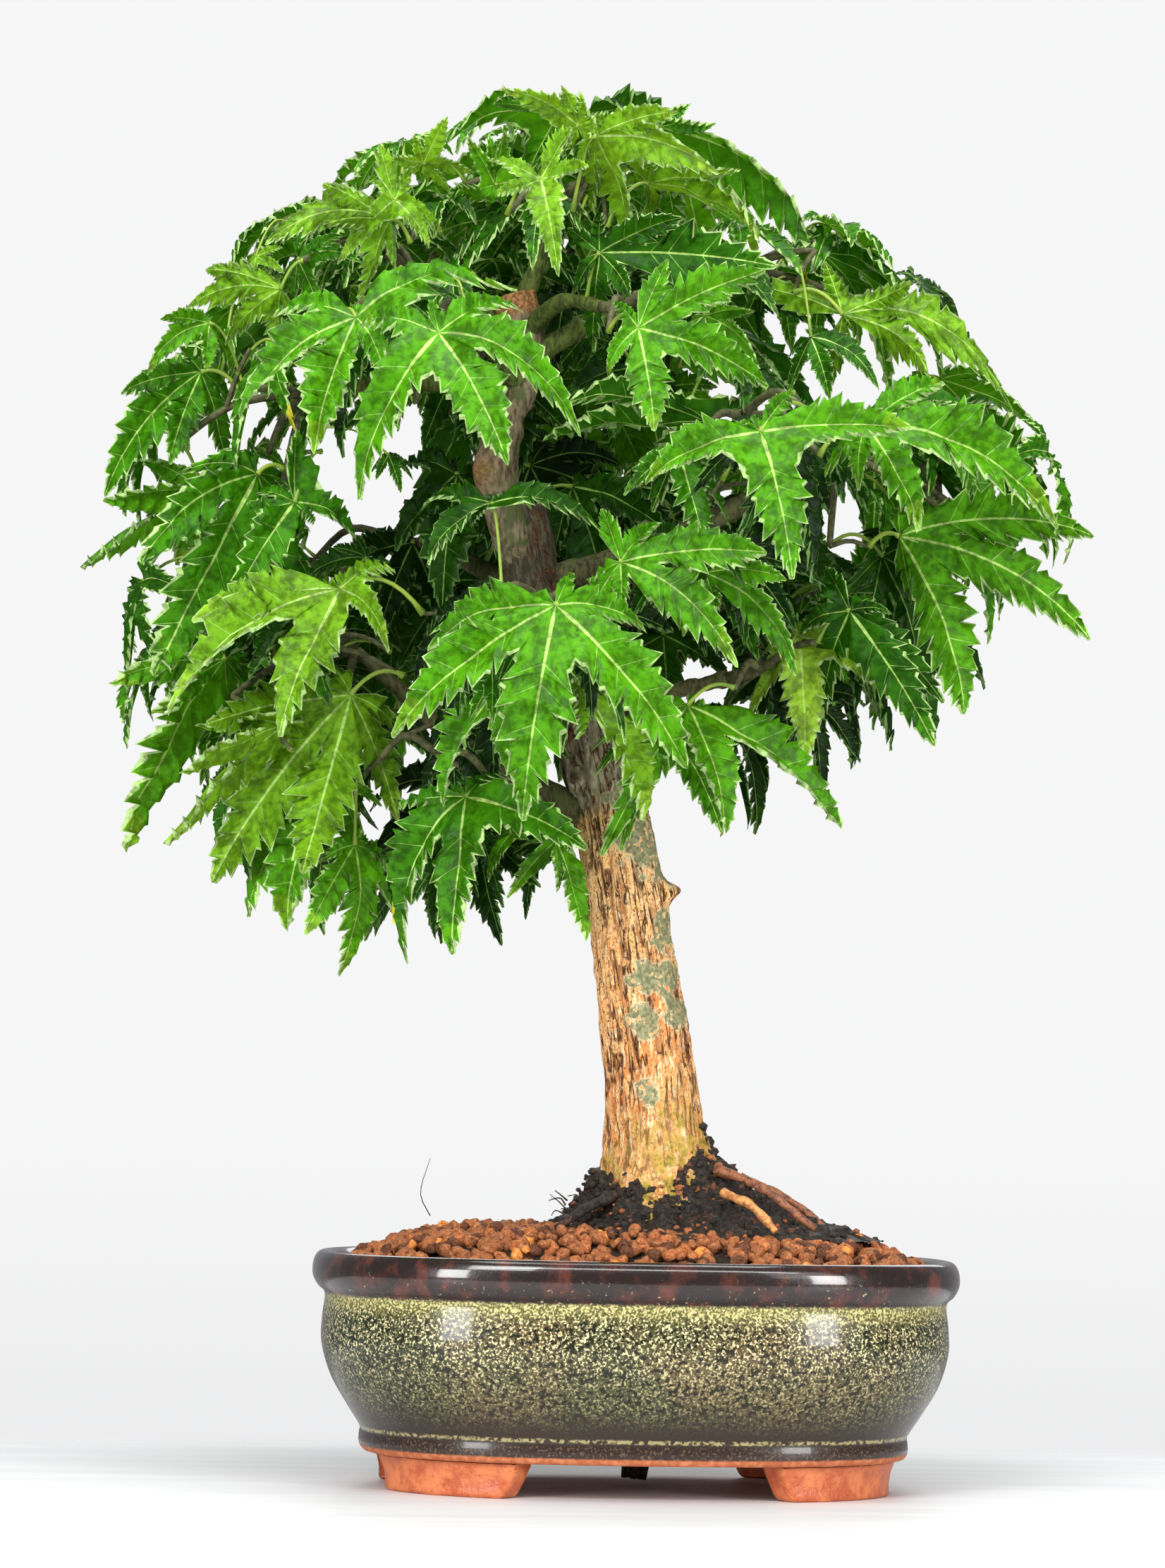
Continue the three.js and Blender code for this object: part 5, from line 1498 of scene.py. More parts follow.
def leaf_pattern(seed):
    """The net of one kind of leaf: its vertices by lobe, and its faces with their kinds."""
    draw = seeded_draws(seed)
    vertices = [(3, 0.0, 0.0, 0.0, 0.0, 0.0, 1.0, 3, 0.0, 0.0)]
    faces = {3: [], 4: []}
    kinds = {3: [], 4: []}
    shared = {}

    def vertex(*data):
        vertices.append(data)
        return len(vertices) - 1

    def face(corners, kind):
        corners = [c for i, c in enumerate(corners) if c != corners[i - 1]]
        if len(corners) > 2:
            faces[len(corners)].append(corners)
            kinds[len(corners)].append(kind)

    for lobe, (_, length) in enumerate(LOBES):
        beside = [i if 0 <= i < len(LOBES) else None for i in (lobe - 1, lobe + 1)]
        depths = [BASE_NOTCH if i is None else NOTCH_DEPTH * math.sqrt(min(length, LOBES[i][1]))
                  for i in beside]
        rows = lobe_rows(length, depths, draw)
        spine = [vertex(lobe, root, 0.0, 0.0, 0.0, 0.0, 1.0, lobe, root, 0.0) for root, *_ in rows]
        for side, sign in ((0, -1), (1, 1)):
            other = beside[side]
            notch = depths[side] / length
            net = [[0] * COLUMNS]
            for j, (root, margins, vein, wave) in enumerate(rows):
                at, out = margins[side]
                fan = 0.0 if other is None else float(np.clip(1 - (at - notch) / FAN_FADE, 0, 1))
                if out == 0:
                    net.append([spine[j]] * COLUMNS)
                    continue
                cut = min(0.4, RIB_WIDTH * (1 - 0.6 * root) / out)
                hem = max(0.6, 1 - EDGE_WIDTH / out)
                row = [spine[j]]
                for share in (cut, PUFFED_AT, hem, 1.0):
                    puff = 0.0 if share in (cut, 1.0) or vein or wave == POINT_WAVE else 1.0
                    spot = (lobe, root + (at - root) * share, sign * out * share, puff, share, wave, fan)
                    if share < 1 or j > 2 or other is None:
                        row.append(vertex(*spot, *spot[:3]))
                        continue
                    key = (min(lobe, other), j)
                    if key not in shared:
                        scale = length / LOBES[other][1]
                        shared[key] = vertex(*spot, other, spot[1] * scale, -spot[2] * scale)
                    row.append(shared[key])
                net.append(row)
            for j in range(len(net) - 1):
                vein = j > 0 and rows[j - 1][2]
                for c in range(COLUMNS - 1):
                    kind = RIB if c == 0 else SIDE_VEIN if vein and c < 3 else LAMINA
                    if c == 3 and (j > 2 or other is None):
                        kind = EDGE
                    corners = [net[j][c], net[j][c + 1], net[j + 1][c + 1], net[j + 1][c]]
                    face(corners if sign > 0 else corners[::-1], kind)
    names = ("lobe", "along", "aside", "puff", "share", "wave", "fan", "other", "other_along", "other_aside")
    pattern = {name: np.array(column) for name, column in zip(names, zip(*vertices))}
    pattern["faces"] = {size: np.array(rows) for size, rows in faces.items()}
    pattern["kinds"] = {size: np.array(rows) for size, rows in kinds.items()}
    return pattern


BEARING_PLAY = math.radians(6)
LENGTH_PLAY = 0.07
WAVE = 0.042
PUFF = 0.034
SIDE_BEND = 0.10
TIP_CURL = (0.04, 0.26)
FOLD_PLAY = (-0.18, 0.45)
TWIST = 0.65
CRUMPLE = 0.042
CRUMPLE_SIZE = 11
# How far along a lobe its folds and waves rise
RISES = (0.1, 0.4)
TIP_STARTS = 0.82
YELLOWED_TIP = 0.84
YELLOWED_SHARE = 0.05
# Tones below this are leaves in painted shade, whose veins and margins are painted darker too
PAINTED_SHADE_TONES = 2


def fan_scale(leaf, lobe, aside, fan):
    """How much wider a lobe's root is than the pattern's, to meet its neighbour half way."""
    other = np.clip(lobe + np.sign(aside).astype(int), 0, len(LOBES) - 1)
    facing = np.sum(leaf["ways"][lobe] * leaf["ways"][other], axis=1)
    half = np.clip(np.arccos(np.clip(facing, -1, 1)) / 2, *HALF_FANS)
    return 1 + (np.tan(half) / SLOPES - 1) * fan


def dress_leaf(heap, leaf, pattern, tone, seed, play=1.0):
    """One leaf with its own play in the lobes, waved margins and puffed cells between veins."""
    random = np.random.default_rng(seed)
    spread = random.uniform(-1, 1, (8, len(LOBES)))
    turn = (spread[0] * BEARING_PLAY * play)[:, None]
    ways, sides = leaf["ways"], leaf["sides"]
    own = {**leaf, "ways": ways * np.cos(turn) + sides * np.sin(turn),
           "sides": sides * np.cos(turn) - ways * np.sin(turn),
           "lengths": leaf["lengths"] * (1 + spread[1] * LENGTH_PLAY * play)}
    lobe, along = pattern["lobe"], pattern["along"]
    half_fold = between(FOLD_PLAY, (spread[2] + 1) / 2)
    curl = between(TIP_CURL, (spread[3] + 1) / 2) * play

    def placed(lobe, along, aside):
        width = aside * fan_scale(own, lobe, aside, pattern["fan"])
        bend = SIDE_BEND * spread[4][lobe] * play * along**2 * (1 - 0.3 * along)
        twist = TWIST * spread[5][lobe] * smooth_step(0.2, 1.0, along)
        points = blade_points(own, lobe, along, width * np.cos(twist) + bend)
        length = own["lengths"][lobe]
        lift = half_fold[lobe] * np.abs(width) * smooth_step(*RISES, along) - curl[lobe] * along**3
        lift = length * lift + length * width * np.sin(twist)
        return points + own["face"] * lift[:, None]

    points = placed(lobe, along, pattern["aside"])
    points = (points + placed(pattern["other"], pattern["other_along"], pattern["other_aside"])) / 2
    risen = smooth_step(*RISES, along)
    lift = WAVE * spread[6][lobe] * pattern["wave"] * pattern["share"] ** 2 + PUFF * pattern["puff"]
    lift = leaf["size"] * (lift * risen + CRUMPLE * noise(points / CRUMPLE_SIZE + seed % 97, 3) * risen)
    points = points + leaf["face"] * lift[:, None]
    # Painted shade: leaves in the deepest tones get darker veins and margins
    in_painted_shade = tone < PAINTED_SHADE_TONES
    marks = (PAINTED_SHADE_MARGIN, PAINTED_SHADE_VEIN, PAINTED_SHADE_SIDE_VEINS) if in_painted_shade else (MARGIN, VEIN, SIDE_VEINS)
    paints = np.array([tone, *marks])
    yellow = random.random() < YELLOWED_SHARE
    for size, corners in pattern["faces"].items():
        chosen = paints[pattern["kinds"][size]]
        far = along[corners].mean(axis=1)
        of_lobe = lobe[corners[:, 0]]
        fresh = (far > TIP_STARTS) & (spread[7][of_lobe] > 0) & (pattern["kinds"][size] == LAMINA)
        chosen = np.where(fresh, min(tone + 1, BRIGHTEST), chosen)
        if yellow:
            chosen = np.where((far > YELLOWED_TIP) & (of_lobe == 3), YELLOWED, chosen)
        heap.faces[size].append(corners + heap.count)
        heap.kinds[size].append(chosen)
    heap.points.append(points)
    heap.values.append(np.zeros(len(points)))
    heap.count += len(points)


# Which masses share a piece
CROWN_PARTS = {
    "low": ["front", "front_right", "low_left", "low_right"],
    "left": ["left", "far_left", "upper_front"],
    "right": ["mid_right", "right", "upper_right"],
    "top": ["crest_front", "crest", "upper_left", "upper_back"],
    "back": ["back_left", "back_right"],
}
PATTERNS = 5
# A leaf's tone by its place in the crown: painted shade deep inside, painted light outside and low on the
# left
INSIDE_PAINTED_SHADE = -0.1
OUTSIDE_PAINTED_LIGHT = 2.6
OUTSIDE = (0.35, 0.85)
LOW_LEFT_PAINTED_LIGHT = 1.2
LEFT = (-40, -75)
LOW = (235, 190)
TONE_SPREAD = 0.7
USUAL_LEAF = 46
SHOWN_PLAY = 0.4
# A petiole's swellings: how far along it, and how thick there
PETIOLE_SWELLS = ((0, 0.12, 0.9, 1), (1.5, 0.9, 0.8, 1.2))
# How far round each limb no blade may come
LIMB_ROOM = {"trunk": 8, "leader": 5}
BOUGH_ROOM = 2.5


def tone_of(leaf, random):
    """Painted light and shade: brighter outside and on top, paler low on the left where light shines
    through, darker deep inside the crown, with a random spread.
    """
    if "tone" in leaf:
        return leaf["tone"]
    hub = leaf["hub"]
    out = np.linalg.norm((hub - CROWN_MIDDLE) / CROWN_REACH * (1, 1, 0.9))
    tone = INSIDE_PAINTED_SHADE + OUTSIDE_PAINTED_LIGHT * smooth_step(*OUTSIDE, out) + random.normal(0, TONE_SPREAD)
    tone += LOW_LEFT_PAINTED_LIGHT * smooth_step(*LEFT, hub[0]) * smooth_step(*LOW, hub[2])
    return int(np.clip(round(tone), 0, BRIGHTEST - 1))


def make_crown():
    """First the shown leaves, then the source's own where they have room, then finer growth."""
    paints = leaf_paints()
    twig_bark, petiole_green = twig_paint(), petiole_paint()
    patterns = [leaf_pattern(700 + i) for i in range(PATTERNS)]
    room = Room()
    masses = {row[0]: Mass(*row) for row in MASSES}
    for name, bend in bends.items():
        path = bend.at(np.linspace(0, 1, 60))
        for shift in itertools.product((-0.6, 0, 0.6), repeat=3):
            room.take(path + np.array(shift) * LIMB_ROOM.get(name, BOUGH_ROOM))
    cover = Cover()
    for mass in masses.values():
        mass.grow_kept_leaves()
    places = limb_places(masses)
    for name, rows in SHOWN_LEAVES.items():
        for row in rows:
            hang_shown_leaf(masses[name], places, *row)
    for mass in masses.values():
        for leaf, _ in mass.leaves:
            room.take(blade_tests(leaf))
            cover.add(leaf)
    for mass in masses.values():
        for leaf, start, k, share in mass.kept:
            tests = blade_tests(leaf)
            if room.free(tests) and not cover.hidden_by(leaf) and not in_clearing(tests).any():
                mass.leaves.append((leaf, start))
                mass.bear(k, share)
                room.take(tests)
    for mass in masses.values():
        grow_finer(mass, room, cover)
    random = np.random.default_rng(11)
    twigs, petioles = Heap(), Heap()
    for part, names in CROWN_PARTS.items():
        blades = Heap()
        for name in names:
            mass = masses[name]
            steps = np.linspace(0, 1, 4)
            stem = mass.foot + (mass.head - mass.foot) * steps[:, None]
            stem -= bends[name].end_way() * GAP * 2
            twigs.add(*tube(stem, between((mass.thin, STEM_THIN), steps), 10))
            for k in sorted(mass.bearing):
                steps = np.linspace(0, 1, 10)
                twigs.add(*tube(mass.shoots[k].at(steps * mass.bearing[k]), between(SHOOT_RADII, steps), 7))
            for path in mass.twigs:
                steps = np.linspace(0, 1, 6)
                twigs.add(*tube(path.at(steps), between(FINE_TWIG_RADII, steps), 6))
            for i, (leaf, start) in enumerate(mass.leaves):
                path = petiole_path(leaf, start)
                radii = PETIOLE_RADIUS * np.interp(np.linspace(0, 1, len(path)), *PETIOLE_SWELLS)
                petioles.add(*tube(path, radii * (leaf["size"] / USUAL_LEAF) ** 0.5, 6))
                tone = tone_of(leaf, random)
                play = SHOWN_PLAY if "tone" in leaf else 1.0
                dress_leaf(blades, leaf, patterns[i % PATTERNS], tone, mass.seed * 100 + i, play)
        piece = blades.make(f"blades_{part}", paints)
        settle(piece, "foliage", *[f"leaves_{name}" for name in names])
    settle(twigs.make("twigs", [twig_bark]), "wood")
    settle(petioles.make("petioles", [petiole_green]), "foliage")


# Pot
POT_CORNER = 2.5
POT_DEPTH_RATIO = 0.72
POT_AROUND = 200
DRAIN_RADIUS = 6.5
POT_OUTSIDE = [
    (69.5, 9.1), (70.9, 9.3), (71.9, 10.6), (71.9, 13.6), (71.7, 14.6), (72.0, 15.4), (75.6, 21),
    (79.9, 28.5), (82.3, 37), (82.2, 43.5), (81.6, 49.0), (81.9, 50.2), (83.5, 51.6), (84.8, 54),
    (85, 56.2), (84.5, 58.8), (83.3, 60.4), (81.8, 60.8), (79.6, 60.3), (78.2, 58.4), (77.6, 55),
]
POT_INSIDE = [(76.6, 40), (72.5, 23), (64, 15), (DRAIN_RADIUS, 15), (DRAIN_RADIUS, 9.1)]


def oval_points(half_width, bearing, height):
    """Points of the pot's rounded oval."""
    rounded = lambda v: np.sign(v) * np.abs(v) ** (2 / POT_CORNER)
    x = half_width * rounded(np.cos(bearing))
    y = half_width * POT_DEPTH_RATIO * rounded(np.sin(bearing))
    return np.stack(np.broadcast_arrays(x, y, height), axis=-1)


def even_bearings(count):
    """Bearings that lie evenly along the oval's edge."""
    fine = np.linspace(0, 2 * math.pi, 4001)
    edge = oval_points(1.0, fine, 0.0)
    length = np.concatenate([[0], np.cumsum(np.linalg.norm(np.diff(edge, axis=0), axis=1))])
    return np.interp(np.arange(count) / count * length[-1], length, fine)


def make_pot(glaze):
    outside = Bend([(0, radius, height) for radius, height in POT_OUTSIDE]).at(np.linspace(0, 1, 90))
    profile = np.vstack([outside[:, 1:], POT_INSIDE, outside[:1, 1:]])
    bearing = even_bearings(POT_AROUND)
    points = oval_points(profile[:, :1], bearing[None], profile[:, 1:])
    wobble = 0.18 * noise(points.reshape(-1, 3) / 22, 5)[:, None]
    points = points.reshape(-1, 3) * (1 + wobble / 85 * (1, 1, 0))
    piece = make_piece("glazed_pot", from_pot(points), [grid_faces(len(profile), POT_AROUND, True)], [glaze])
    settle(piece, "glaze", "pot")


FOOT_OUTER = 69
FOOT_INNER = 58
FOOT_END_ACROSS = 34
FOOT_END_ALONG = 13
FOOT_END_SLANT = 4
FOOT_SPLAY = 1
FOOT_TOP = 9.2
FOOT_NET = (40, 9, 9)
FOOT_SIZES = np.array([42.0, 11.0, 9.2])
FOOT_EDGE = 1.3


def foot_points(u, v, w):
    """A foot's points by shares along it, from inside to outside, and up."""
    slant = FOOT_END_SLANT * (1 - w)
    splay = FOOT_SPLAY * (1 - w)
    near = np.arccos(((FOOT_END_ACROSS + slant) / FOOT_OUTER) ** (POT_CORNER / 2))
    share = (FOOT_END_ALONG + slant) / (FOOT_OUTER * POT_DEPTH_RATIO)
    far = math.pi / 2 - np.arccos(share ** (POT_CORNER / 2))
    radius = FOOT_INNER + 2 * splay + (FOOT_OUTER - FOOT_INNER - 3 * splay) * v
    waist = 0.9 * np.sin(math.pi * np.clip(w, 0, 1)) * v
    return oval_points(radius - waist, near + (far - near) * u, w * FOOT_TOP)


def make_feet(clay):
    """Four corner feet with worn, rounded edges."""
    for side, x_sign in (("left", -1), ("right", 1)):
        for end, y_sign in (("front", -1), ("back", 1)):
            heap = Heap()
            for fixed, level in itertools.product(range(3), (0.0, 1.0)):
                counts = [FOOT_NET[i] for i in range(3) if i != fixed]
                sheet = list(np.meshgrid(*[np.linspace(0, 1, n) for n in counts], indexing="ij"))
                sheet.insert(fixed, np.full_like(sheet[0], level))
                shares = np.stack(sheet, axis=-1).reshape(-1, 3)
                inner = np.clip(shares * FOOT_SIZES, FOOT_EDGE, FOOT_SIZES - FOOT_EDGE)
                out = shares * FOOT_SIZES - inner
                length = np.linalg.norm(out, axis=1, keepdims=True)
                rounded = inner + out / np.maximum(length, 1e-6) * np.minimum(length, FOOT_EDGE)
                points = foot_points(*(rounded / FOOT_SIZES).T) * (x_sign, y_sign, 1)
                points += 0.16 * noise(points / 2.4, 7)[:, None] * (1, 1, 0.2)
                points[:, 2] = np.maximum(points[:, 2], 0)
                heap.add(points, [grid_faces(*counts, False)])
            name = f"foot_{end}_{side}"
            piece = heap.make(name + "_clay", [clay], placed=from_pot)
            weld = piece.modifiers.new("weld", "WELD")
            weld.merge_threshold = 1e-5
            settle(piece, "terracotta", name)


# Soil
SOIL_PROFILE = [(0, 66.4), (47, 66.3), (62, 63.6), (73.5, 59), (77.2, 56)]
GRANULE_TONES = [
    ("granule_brown", (0.36, 0.120, 0.040), (0.62, 0.270, 0.110), (0.050, 0.015, 0.006)),
    ("granule_red", (0.48, 0.150, 0.045), (0.76, 0.340, 0.140), (0.070, 0.020, 0.008)),
    ("granule_dark", (0.13, 0.044, 0.018), (0.30, 0.120, 0.055), (0.020, 0.008, 0.004)),
    ("granule_orange", (0.85, 0.300, 0.060), (0.95, 0.460, 0.130), (0.20, 0.055, 0.012)),
]
BED_NET = (44, 120)
GRANULE_REACH = 75.2
GRANULE_CUTS = 6
GRANULE_CUT_PLACES = (0.55, 0.85)
GRANULE_SHARES = (0.5, 0.28, 0.17, 0.05)
# Layers of granules: how many, their sizes, and how high the layer reaches
GRANULE_LAYERS = [(1500, (3.4, 5.2), 0.0), (500, (2.4, 4.2), 1.9)]


def soil_height(x, y):
    """The soil's surface by its place in the pot's oval."""
    reach = (np.abs(x) ** POT_CORNER + (np.abs(y) / POT_DEPTH_RATIO) ** POT_CORNER) ** (1 / POT_CORNER)
    return np.interp(reach, *np.array(SOIL_PROFILE).T), reach


def ball_net(cuts):
    net = bmesh.new()
    bmesh.ops.create_icosphere(net, subdivisions=cuts, radius=1)
    points = np.array([vertex.co for vertex in net.verts])
    faces = np.array([[vertex.index for vertex in face.verts] for face in net.faces])
    net.free()
    return points, faces


def granule(random, ball, size):
    """A blunt crumb: a ball flattened on a few random sides and dented."""
    points, faces = ball
    shape = points.copy()
    for _ in range(GRANULE_CUTS):
        way = unit(random.normal(size=3))
        cut = random.uniform(*GRANULE_CUT_PLACES)
        over = np.maximum(shape @ way - cut, 0)
        shape -= over[:, None] * way
    shape *= 1 + random.normal(0, 0.05, (len(shape), 1))
    shape *= size / 2 * random.uniform(0.8, 1.2, 3)
    spin = random.normal(size=(3, 3))
    turn, _ = np.linalg.qr(spin)
    return shape @ turn, [faces]


def make_soil(paints, muck):
    rows, around = BED_NET
    bearing = even_bearings(around)
    reach = np.linspace(0.02, 1, rows)[:, None] * SOIL_PROFILE[-1][0]
    bed = oval_points(reach, bearing[None], 0.0).reshape(-1, 3)
    bed[:, 2] = soil_height(bed[:, 0], bed[:, 1])[0] - 1.6 + 0.6 * noise(bed / 3.0, 3)
    piece = make_piece("soil_bed", from_pot(bed), [grid_faces(rows, around, True)], [muck])
    settle(piece, "soil", "soil")
    random = np.random.default_rng(5)
    ball = ball_net(2)
    heap = Heap()
    placed = []
    for count, sizes, raised in GRANULE_LAYERS:
        made = 0
        while made < count:
            x, y = random.uniform(-77, 77), random.uniform(-56, 56)
            height, reach = soil_height(x, y)
            if reach > GRANULE_REACH:
                continue
            made += 1
            size = random.uniform(*sizes)
            near = [1 for px, py, pz in placed[-400:] if math.hypot(px - x, py - y) < 1.9 and pz == raised]
            if near and random.random() < 0.8:
                continue
            placed.append((x, y, raised))
            points, faces = granule(random, ball, size)
            kind = random.choice(len(GRANULE_SHARES), p=GRANULE_SHARES)
            heap.add(points + (x, y, height + raised * random.uniform(0.3, 1) - 0.2), faces, kind)
    settle(heap.make("soil_granules", paints, placed=from_pot), "soil")


# The dark collar of humus round the root flare, its crumbs, and the bare roots
# How high the collar reaches on the trunk, by bearing
COLLAR_TOPS = [(0, 96), (30, 90), (70, 81), (120, 79), (180, 84), (225, 83), (255, 82), (280, 81),
               (300, 86), (325, 93), (345, 97), (360, 96)]
COLLAR_SPREAD = 19
COLLAR_NET = (44, 240)
COLLAR_CRUMBS = 520
CRUMB_SHARES = (0.72, 0.16, 0.12)


def make_collar(muck, paints, reddish):
    rows, around = COLLAR_NET
    angle = np.arange(around) * 2 * math.pi / around
    bearing = np.degrees(angle)
    tops = np.interp(bearing, *np.array(COLLAR_TOPS, float).T)
    share = np.linspace(0, 1, rows)[:, None]
    base = GROUND - 1.5
    height = tops + (base - tops) * share
    centre = trunk_centres(height.ravel(), 400)
    radius = trunk_radius(np.tile(bearing, rows), height.ravel())
    spread = (0.2 + 0.9 * share + COLLAR_SPREAD * share**3.2).repeat(around, axis=1).ravel()
    radius = radius + spread * (0.75 + 0.35 * np.tile(np.cos(angle - 0.1), rows))
    east, north = np.tile(np.cos(angle), rows), np.tile(np.sin(angle), rows)
    points = np.column_stack([centre[:, 0] + radius * east, centre[:, 1] + radius * north * 0.93,
                              height.ravel()])
    out = np.column_stack([east, north, np.full(rows * around, 0.5)])
    bump = 1.9 * rough_noise(points / 3.4, 3, 17) + 1.5 * np.abs(noise(points / 1.5, 19))
    fade = smooth_step(0, 0.12, np.repeat(share.ravel(), around))
    points += out * (bump * (0.35 + 0.65 * fade) - 0.6 * (1 - fade))[:, None]
    piece = make_piece("root_collar", from_plant(points), [grid_faces(rows, around, True)], [muck])
    settle(piece, "soil")
    random = np.random.default_rng(23)
    ball = ball_net(1)
    crumbs = Heap()
    for _ in range(COLLAR_CRUMBS):
        row, column = int(rows * random.random() ** 0.7), random.integers(around)
        spot = points[min(row, rows - 1) * around + column]
        shape, faces = granule(random, ball, random.uniform(0.8, 2.6))
        kind = random.choice(len(CRUMB_SHARES), p=CRUMB_SHARES)
        crumbs.add(shape * (1, 1, 0.8) + spot + out[column] * 0.3, faces, kind)
    settle(crumbs.make("collar_crumbs", [muck, paints[0], reddish]), "soil")


# Bare roots: their path, their radii at both ends and their paint
ROOTS = [
    ([(20, -9, 84), (32, -17, 79.5), (46, -21, 69)], 1.35, 0.95, 0),
    ([(22, -20, 78), (29, -26, 75), (35.5, -30, 68.5)], 1.3, 1.1, 1),
    ([(27, -4, 82), (40, -7, 76), (51, -10, 68)], 1.2, 0.8, 0),
    ([(-2, -13, 78), (-12, -20, 74), (-21, -24, 68)], 1.7, 1.0, 2),
]


HAIR_ROOTS = 34
# One hair that stands up from the soil: its course and its radius
STANDING_HAIR = ((-53.9, -20, 70.5), (-56.5, -20, 76), (-54.2, -20, 85.5), 0.16)
DRAIN_ROOTS = 26
DRAIN_ROOT_RADIUS = 1.35


def make_roots(reddish, orange, muck):
    heap = Heap()
    for i, (path, thick, thin, kind) in enumerate(ROOTS):
        steps = np.linspace(0, 1, 26)
        radii = between((thick, thin), steps) * (1 + 0.12 * np.sin(steps * 17 + i))
        vertices, faces = tube(Bend(path).at(steps), radii, 14)
        vertices += 0.25 * noise(vertices / 1.6, 60 + i)[:, None]
        heap.add(vertices, faces, kind)
    settle(heap.make("surface_roots", [reddish, orange, muck]), "roots")
    random = np.random.default_rng(31)
    hairs = Heap()
    starts = [STANDING_HAIR]
    for _ in range(HAIR_ROOTS):
        bearing = random.uniform(0, 2 * math.pi)
        start = np.array([6 + 25 * math.cos(bearing), 20 * math.sin(bearing), random.uniform(69, 76)])
        way = np.array([math.cos(bearing), math.sin(bearing), random.uniform(-0.2, 0.9)])
        way *= random.uniform(2, 5.5)
        middle = start + way * 0.5 + random.normal(0, 0.8, 3)
        starts.append((start, middle, start + way, random.uniform(0.12, 0.34)))
    for start, middle, end, radius in starts:
        steps = np.linspace(0, 1, 9)
        hairs.add(*tube(Bend([start, middle, end]).at(steps), radius * (1 - 0.6 * steps), 5))
    settle(hairs.make("hair_roots", [muck]), "roots")


def make_drain_roots(muck):
    """A clump of dark roots that hangs from the drain hole."""
    random = np.random.default_rng(41)
    heap = Heap()
    for _ in range(DRAIN_ROOTS):
        bearing, out = random.uniform(0, 2 * math.pi), random.uniform(0, 3.2)
        top = np.array([out * math.cos(bearing), out * math.sin(bearing), 11.5])
        play = (random.normal(0, 0.6), random.normal(0, 0.6), random.uniform(2.0, 3.8))
        low = top * (1.05, 1.05, 0) + play
        steps = np.linspace(0, 1, 8)
        path = Bend([top, (top + low) / 2 + (0.4, 0.3, 0), low]).at(steps)
        heap.add(*tube(path, DRAIN_ROOT_RADIUS * (1 - 0.45 * steps**2), 7))
    settle(heap.make("drain_roots", [muck], placed=from_pot), "roots", "root_tuft")


# Stage and light
FLOOR_REACH = 0.75
TABLE_FADE = (85, 185)
DOME_RADIUS = 8.0


def make_stage():
    """A pale table that ends softly behind the pot, and a glowing dome that only the camera sees, a painted
    backdrop.
    """
    paint = Paint("table_top", Roughness=0.5)
    x, y, _ = paint.axes()
    grain = paint.speckle(14.0, 5.0, 0.6, paint.stretched((0.12, 1.0, 1.0)))
    far = (x * x + y * y) ** 0.5
    beyond = (y / MM).step(*TABLE_FADE).at_least(far.step(0.4, 0.7))
    paint.feed({"Base Color": grain.step(0.35, 0.65).blend((0.71, 0.71, 0.72), (0.78, 0.78, 0.78)),
                "Alpha": 1 - beyond})
    corners = FLOOR_REACH * np.array([(-1, -1, 0), (1, -1, 0), (1, 1, 0), (-1, 1, 0)])
    make_piece("table", corners, [np.array([[0, 1, 2, 3]])], [paint.material], smooth=False)
    backdrop_glow_paint = Paint("backdrop_glow", Base_Color=(0, 0, 0), Roughness=1.0, Specular_IOR_Level=0.0)
    height = backdrop_glow_paint.axes()[2]
    # Painted glow with painted shade: the dome shines by itself, darker low down towards the table
    low = height.step(0.15, -0.75)
    backdrop_glow_paint.feed({"Emission Color": low.blend((0.925, 0.926, 0.930), (0.825, 0.827, 0.838)),
                "Emission Strength": 1.0})
    points, faces = ball_net(5)
    dome = make_piece("backdrop", points * DOME_RADIUS, [faces[:, ::-1]], [backdrop_glow_paint.material])
    for rays in ("diffuse", "glossy", "transmission", "volume_scatter", "shadow"):
        setattr(dome, f"visible_{rays}", False)


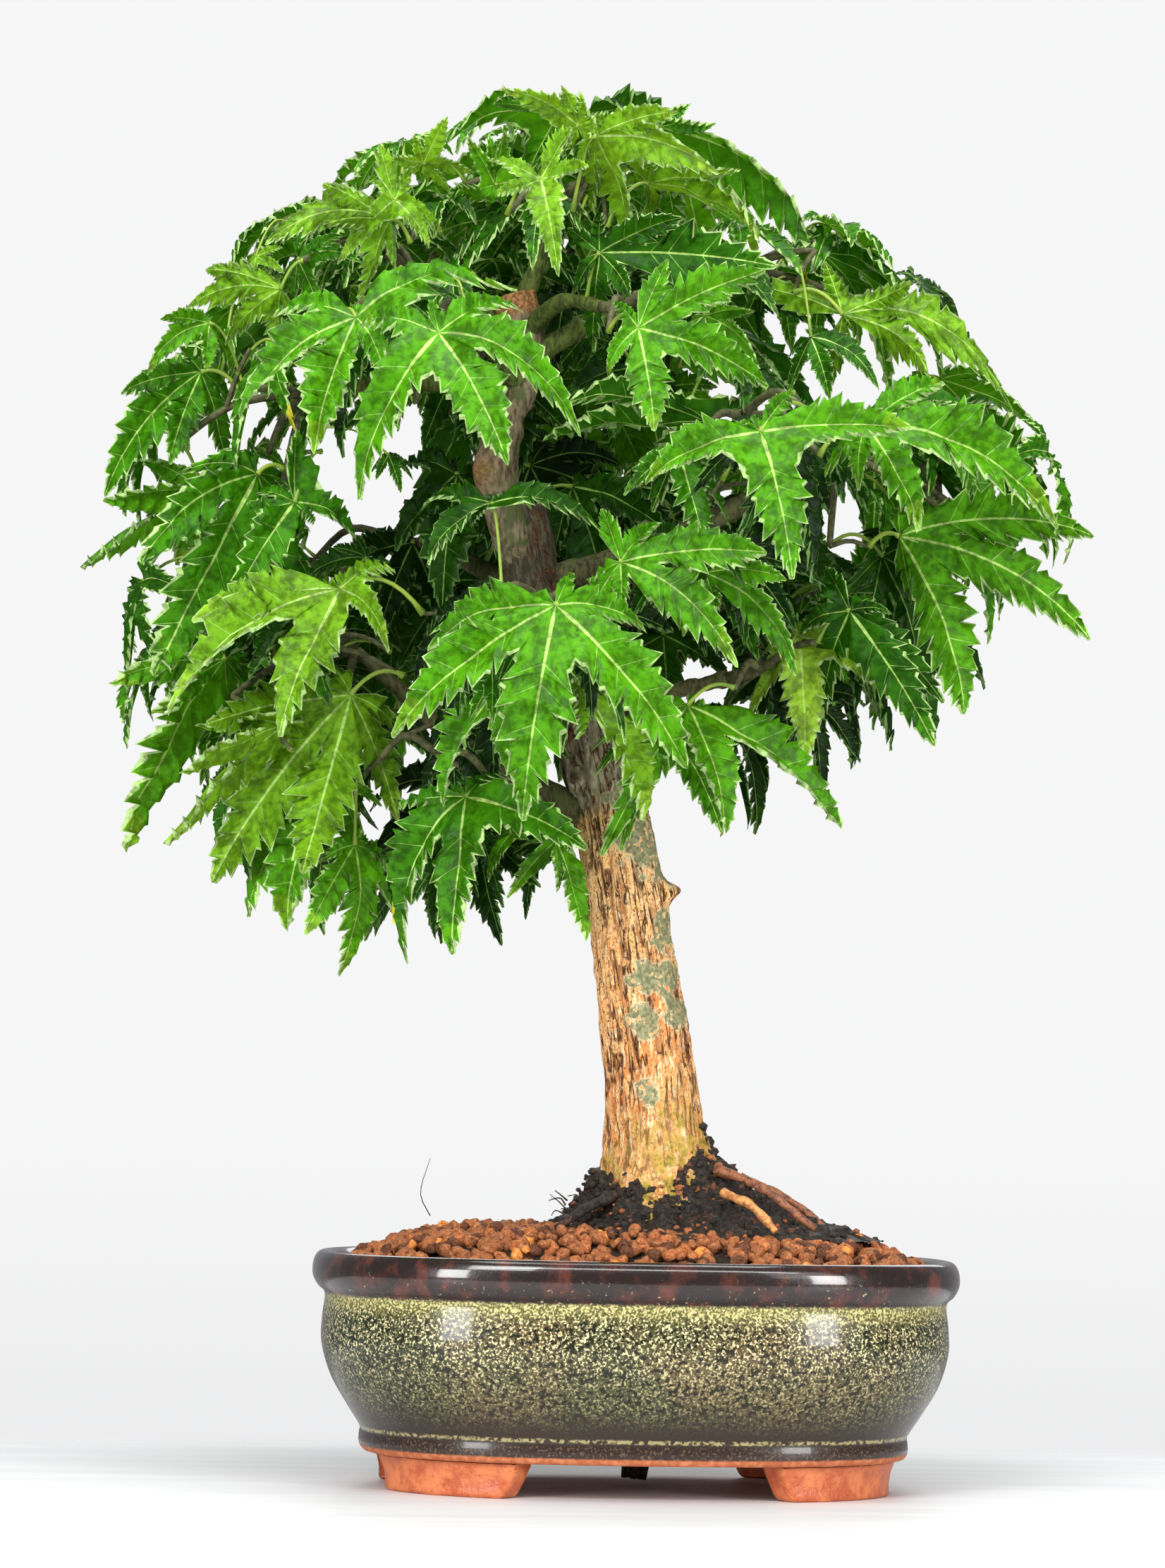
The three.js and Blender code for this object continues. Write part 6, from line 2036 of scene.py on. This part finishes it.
# Soft boxes: place, aim, width, height and power
SOFT_BOXES = {
    "key": ((-0.75, -1.5, 1.1), (0, 0, 0.2), 0.7, 0.7, 16),
    "fill": ((0.95, -1.4, 0.75), (0, 0, 0.15), 0.6, 0.8, 3),
    "top": ((0.0, -0.25, 1.5), (0, 0, 0.2), 1.0, 0.8, 16),
    "back": ((0.3, 1.3, 1.0), (0, 0, 0.25), 1.2, 0.8, 7),
    "strip_left": ((-0.80, -0.89, 0.25), (0, 0, 0.05), 0.26, 0.40, 5.5),
    "strip_right": ((0.80, -0.89, 0.25), (0, 0, 0.05), 0.26, 0.40, 5.5),
    "bar": ((0.0, -1.1, 0.8), (0, 0, 0.06), 1.5, 0.12, 6),
}
ROOM_LIGHT = (0.28, 0.285, 0.295)


def make_light():
    world = bpy.data.worlds.new("studio")
    bpy.context.scene.world = world
    world.use_nodes = True
    background = world.node_tree.nodes["Background"]
    background.inputs["Color"].default_value = (*ROOM_LIGHT, 1)
    background.inputs["Strength"].default_value = 1.0
    for name, (place, aim, width, height, power) in SOFT_BOXES.items():
        light = bpy.data.lights.new(name, "AREA")
        light.shape = "RECTANGLE"
        light.size, light.size_y, light.energy = width, height, power
        lamp = bpy.data.objects.new(name, light)
        lamp.location = place
        lamp.rotation_euler = (Vector(aim) - Vector(place)).to_track_quat("-Z", "Y").to_euler()
        bpy.context.scene.collection.objects.link(lamp)
    bpy.context.scene.view_settings.view_transform = "Standard"


make_camera()
make_stage()
make_light()
make_pot(glaze_paint())
make_feet(terracotta_paint())
muck = muck_paint()
granule_paints = [granule_paint(*tone) for tone in GRANULE_TONES]
reddish_root = root_paint("root_reddish", (0.33, 0.12, 0.05), (0.13, 0.045, 0.022))
orange_root = root_paint("root_orange", (0.72, 0.33, 0.10), (0.42, 0.15, 0.04))
make_soil(granule_paints, muck)
make_collar(muck, granule_paints, reddish_root)
make_roots(reddish_root, orange_root, muck)
make_drain_roots(muck)
make_trunk(trunk_paint())
# The boughs' bark is darker than the leader's: partly their olive young bark, partly painted shade to sink
# them into the crown
make_limbs(wood_paint("leader_bark", (0.085, 0.062, 0.035), (0.27, 0.21, 0.13)),
           wood_paint("bough_bark", (0.040, 0.040, 0.014), (0.130, 0.120, 0.050), True))
make_crown()
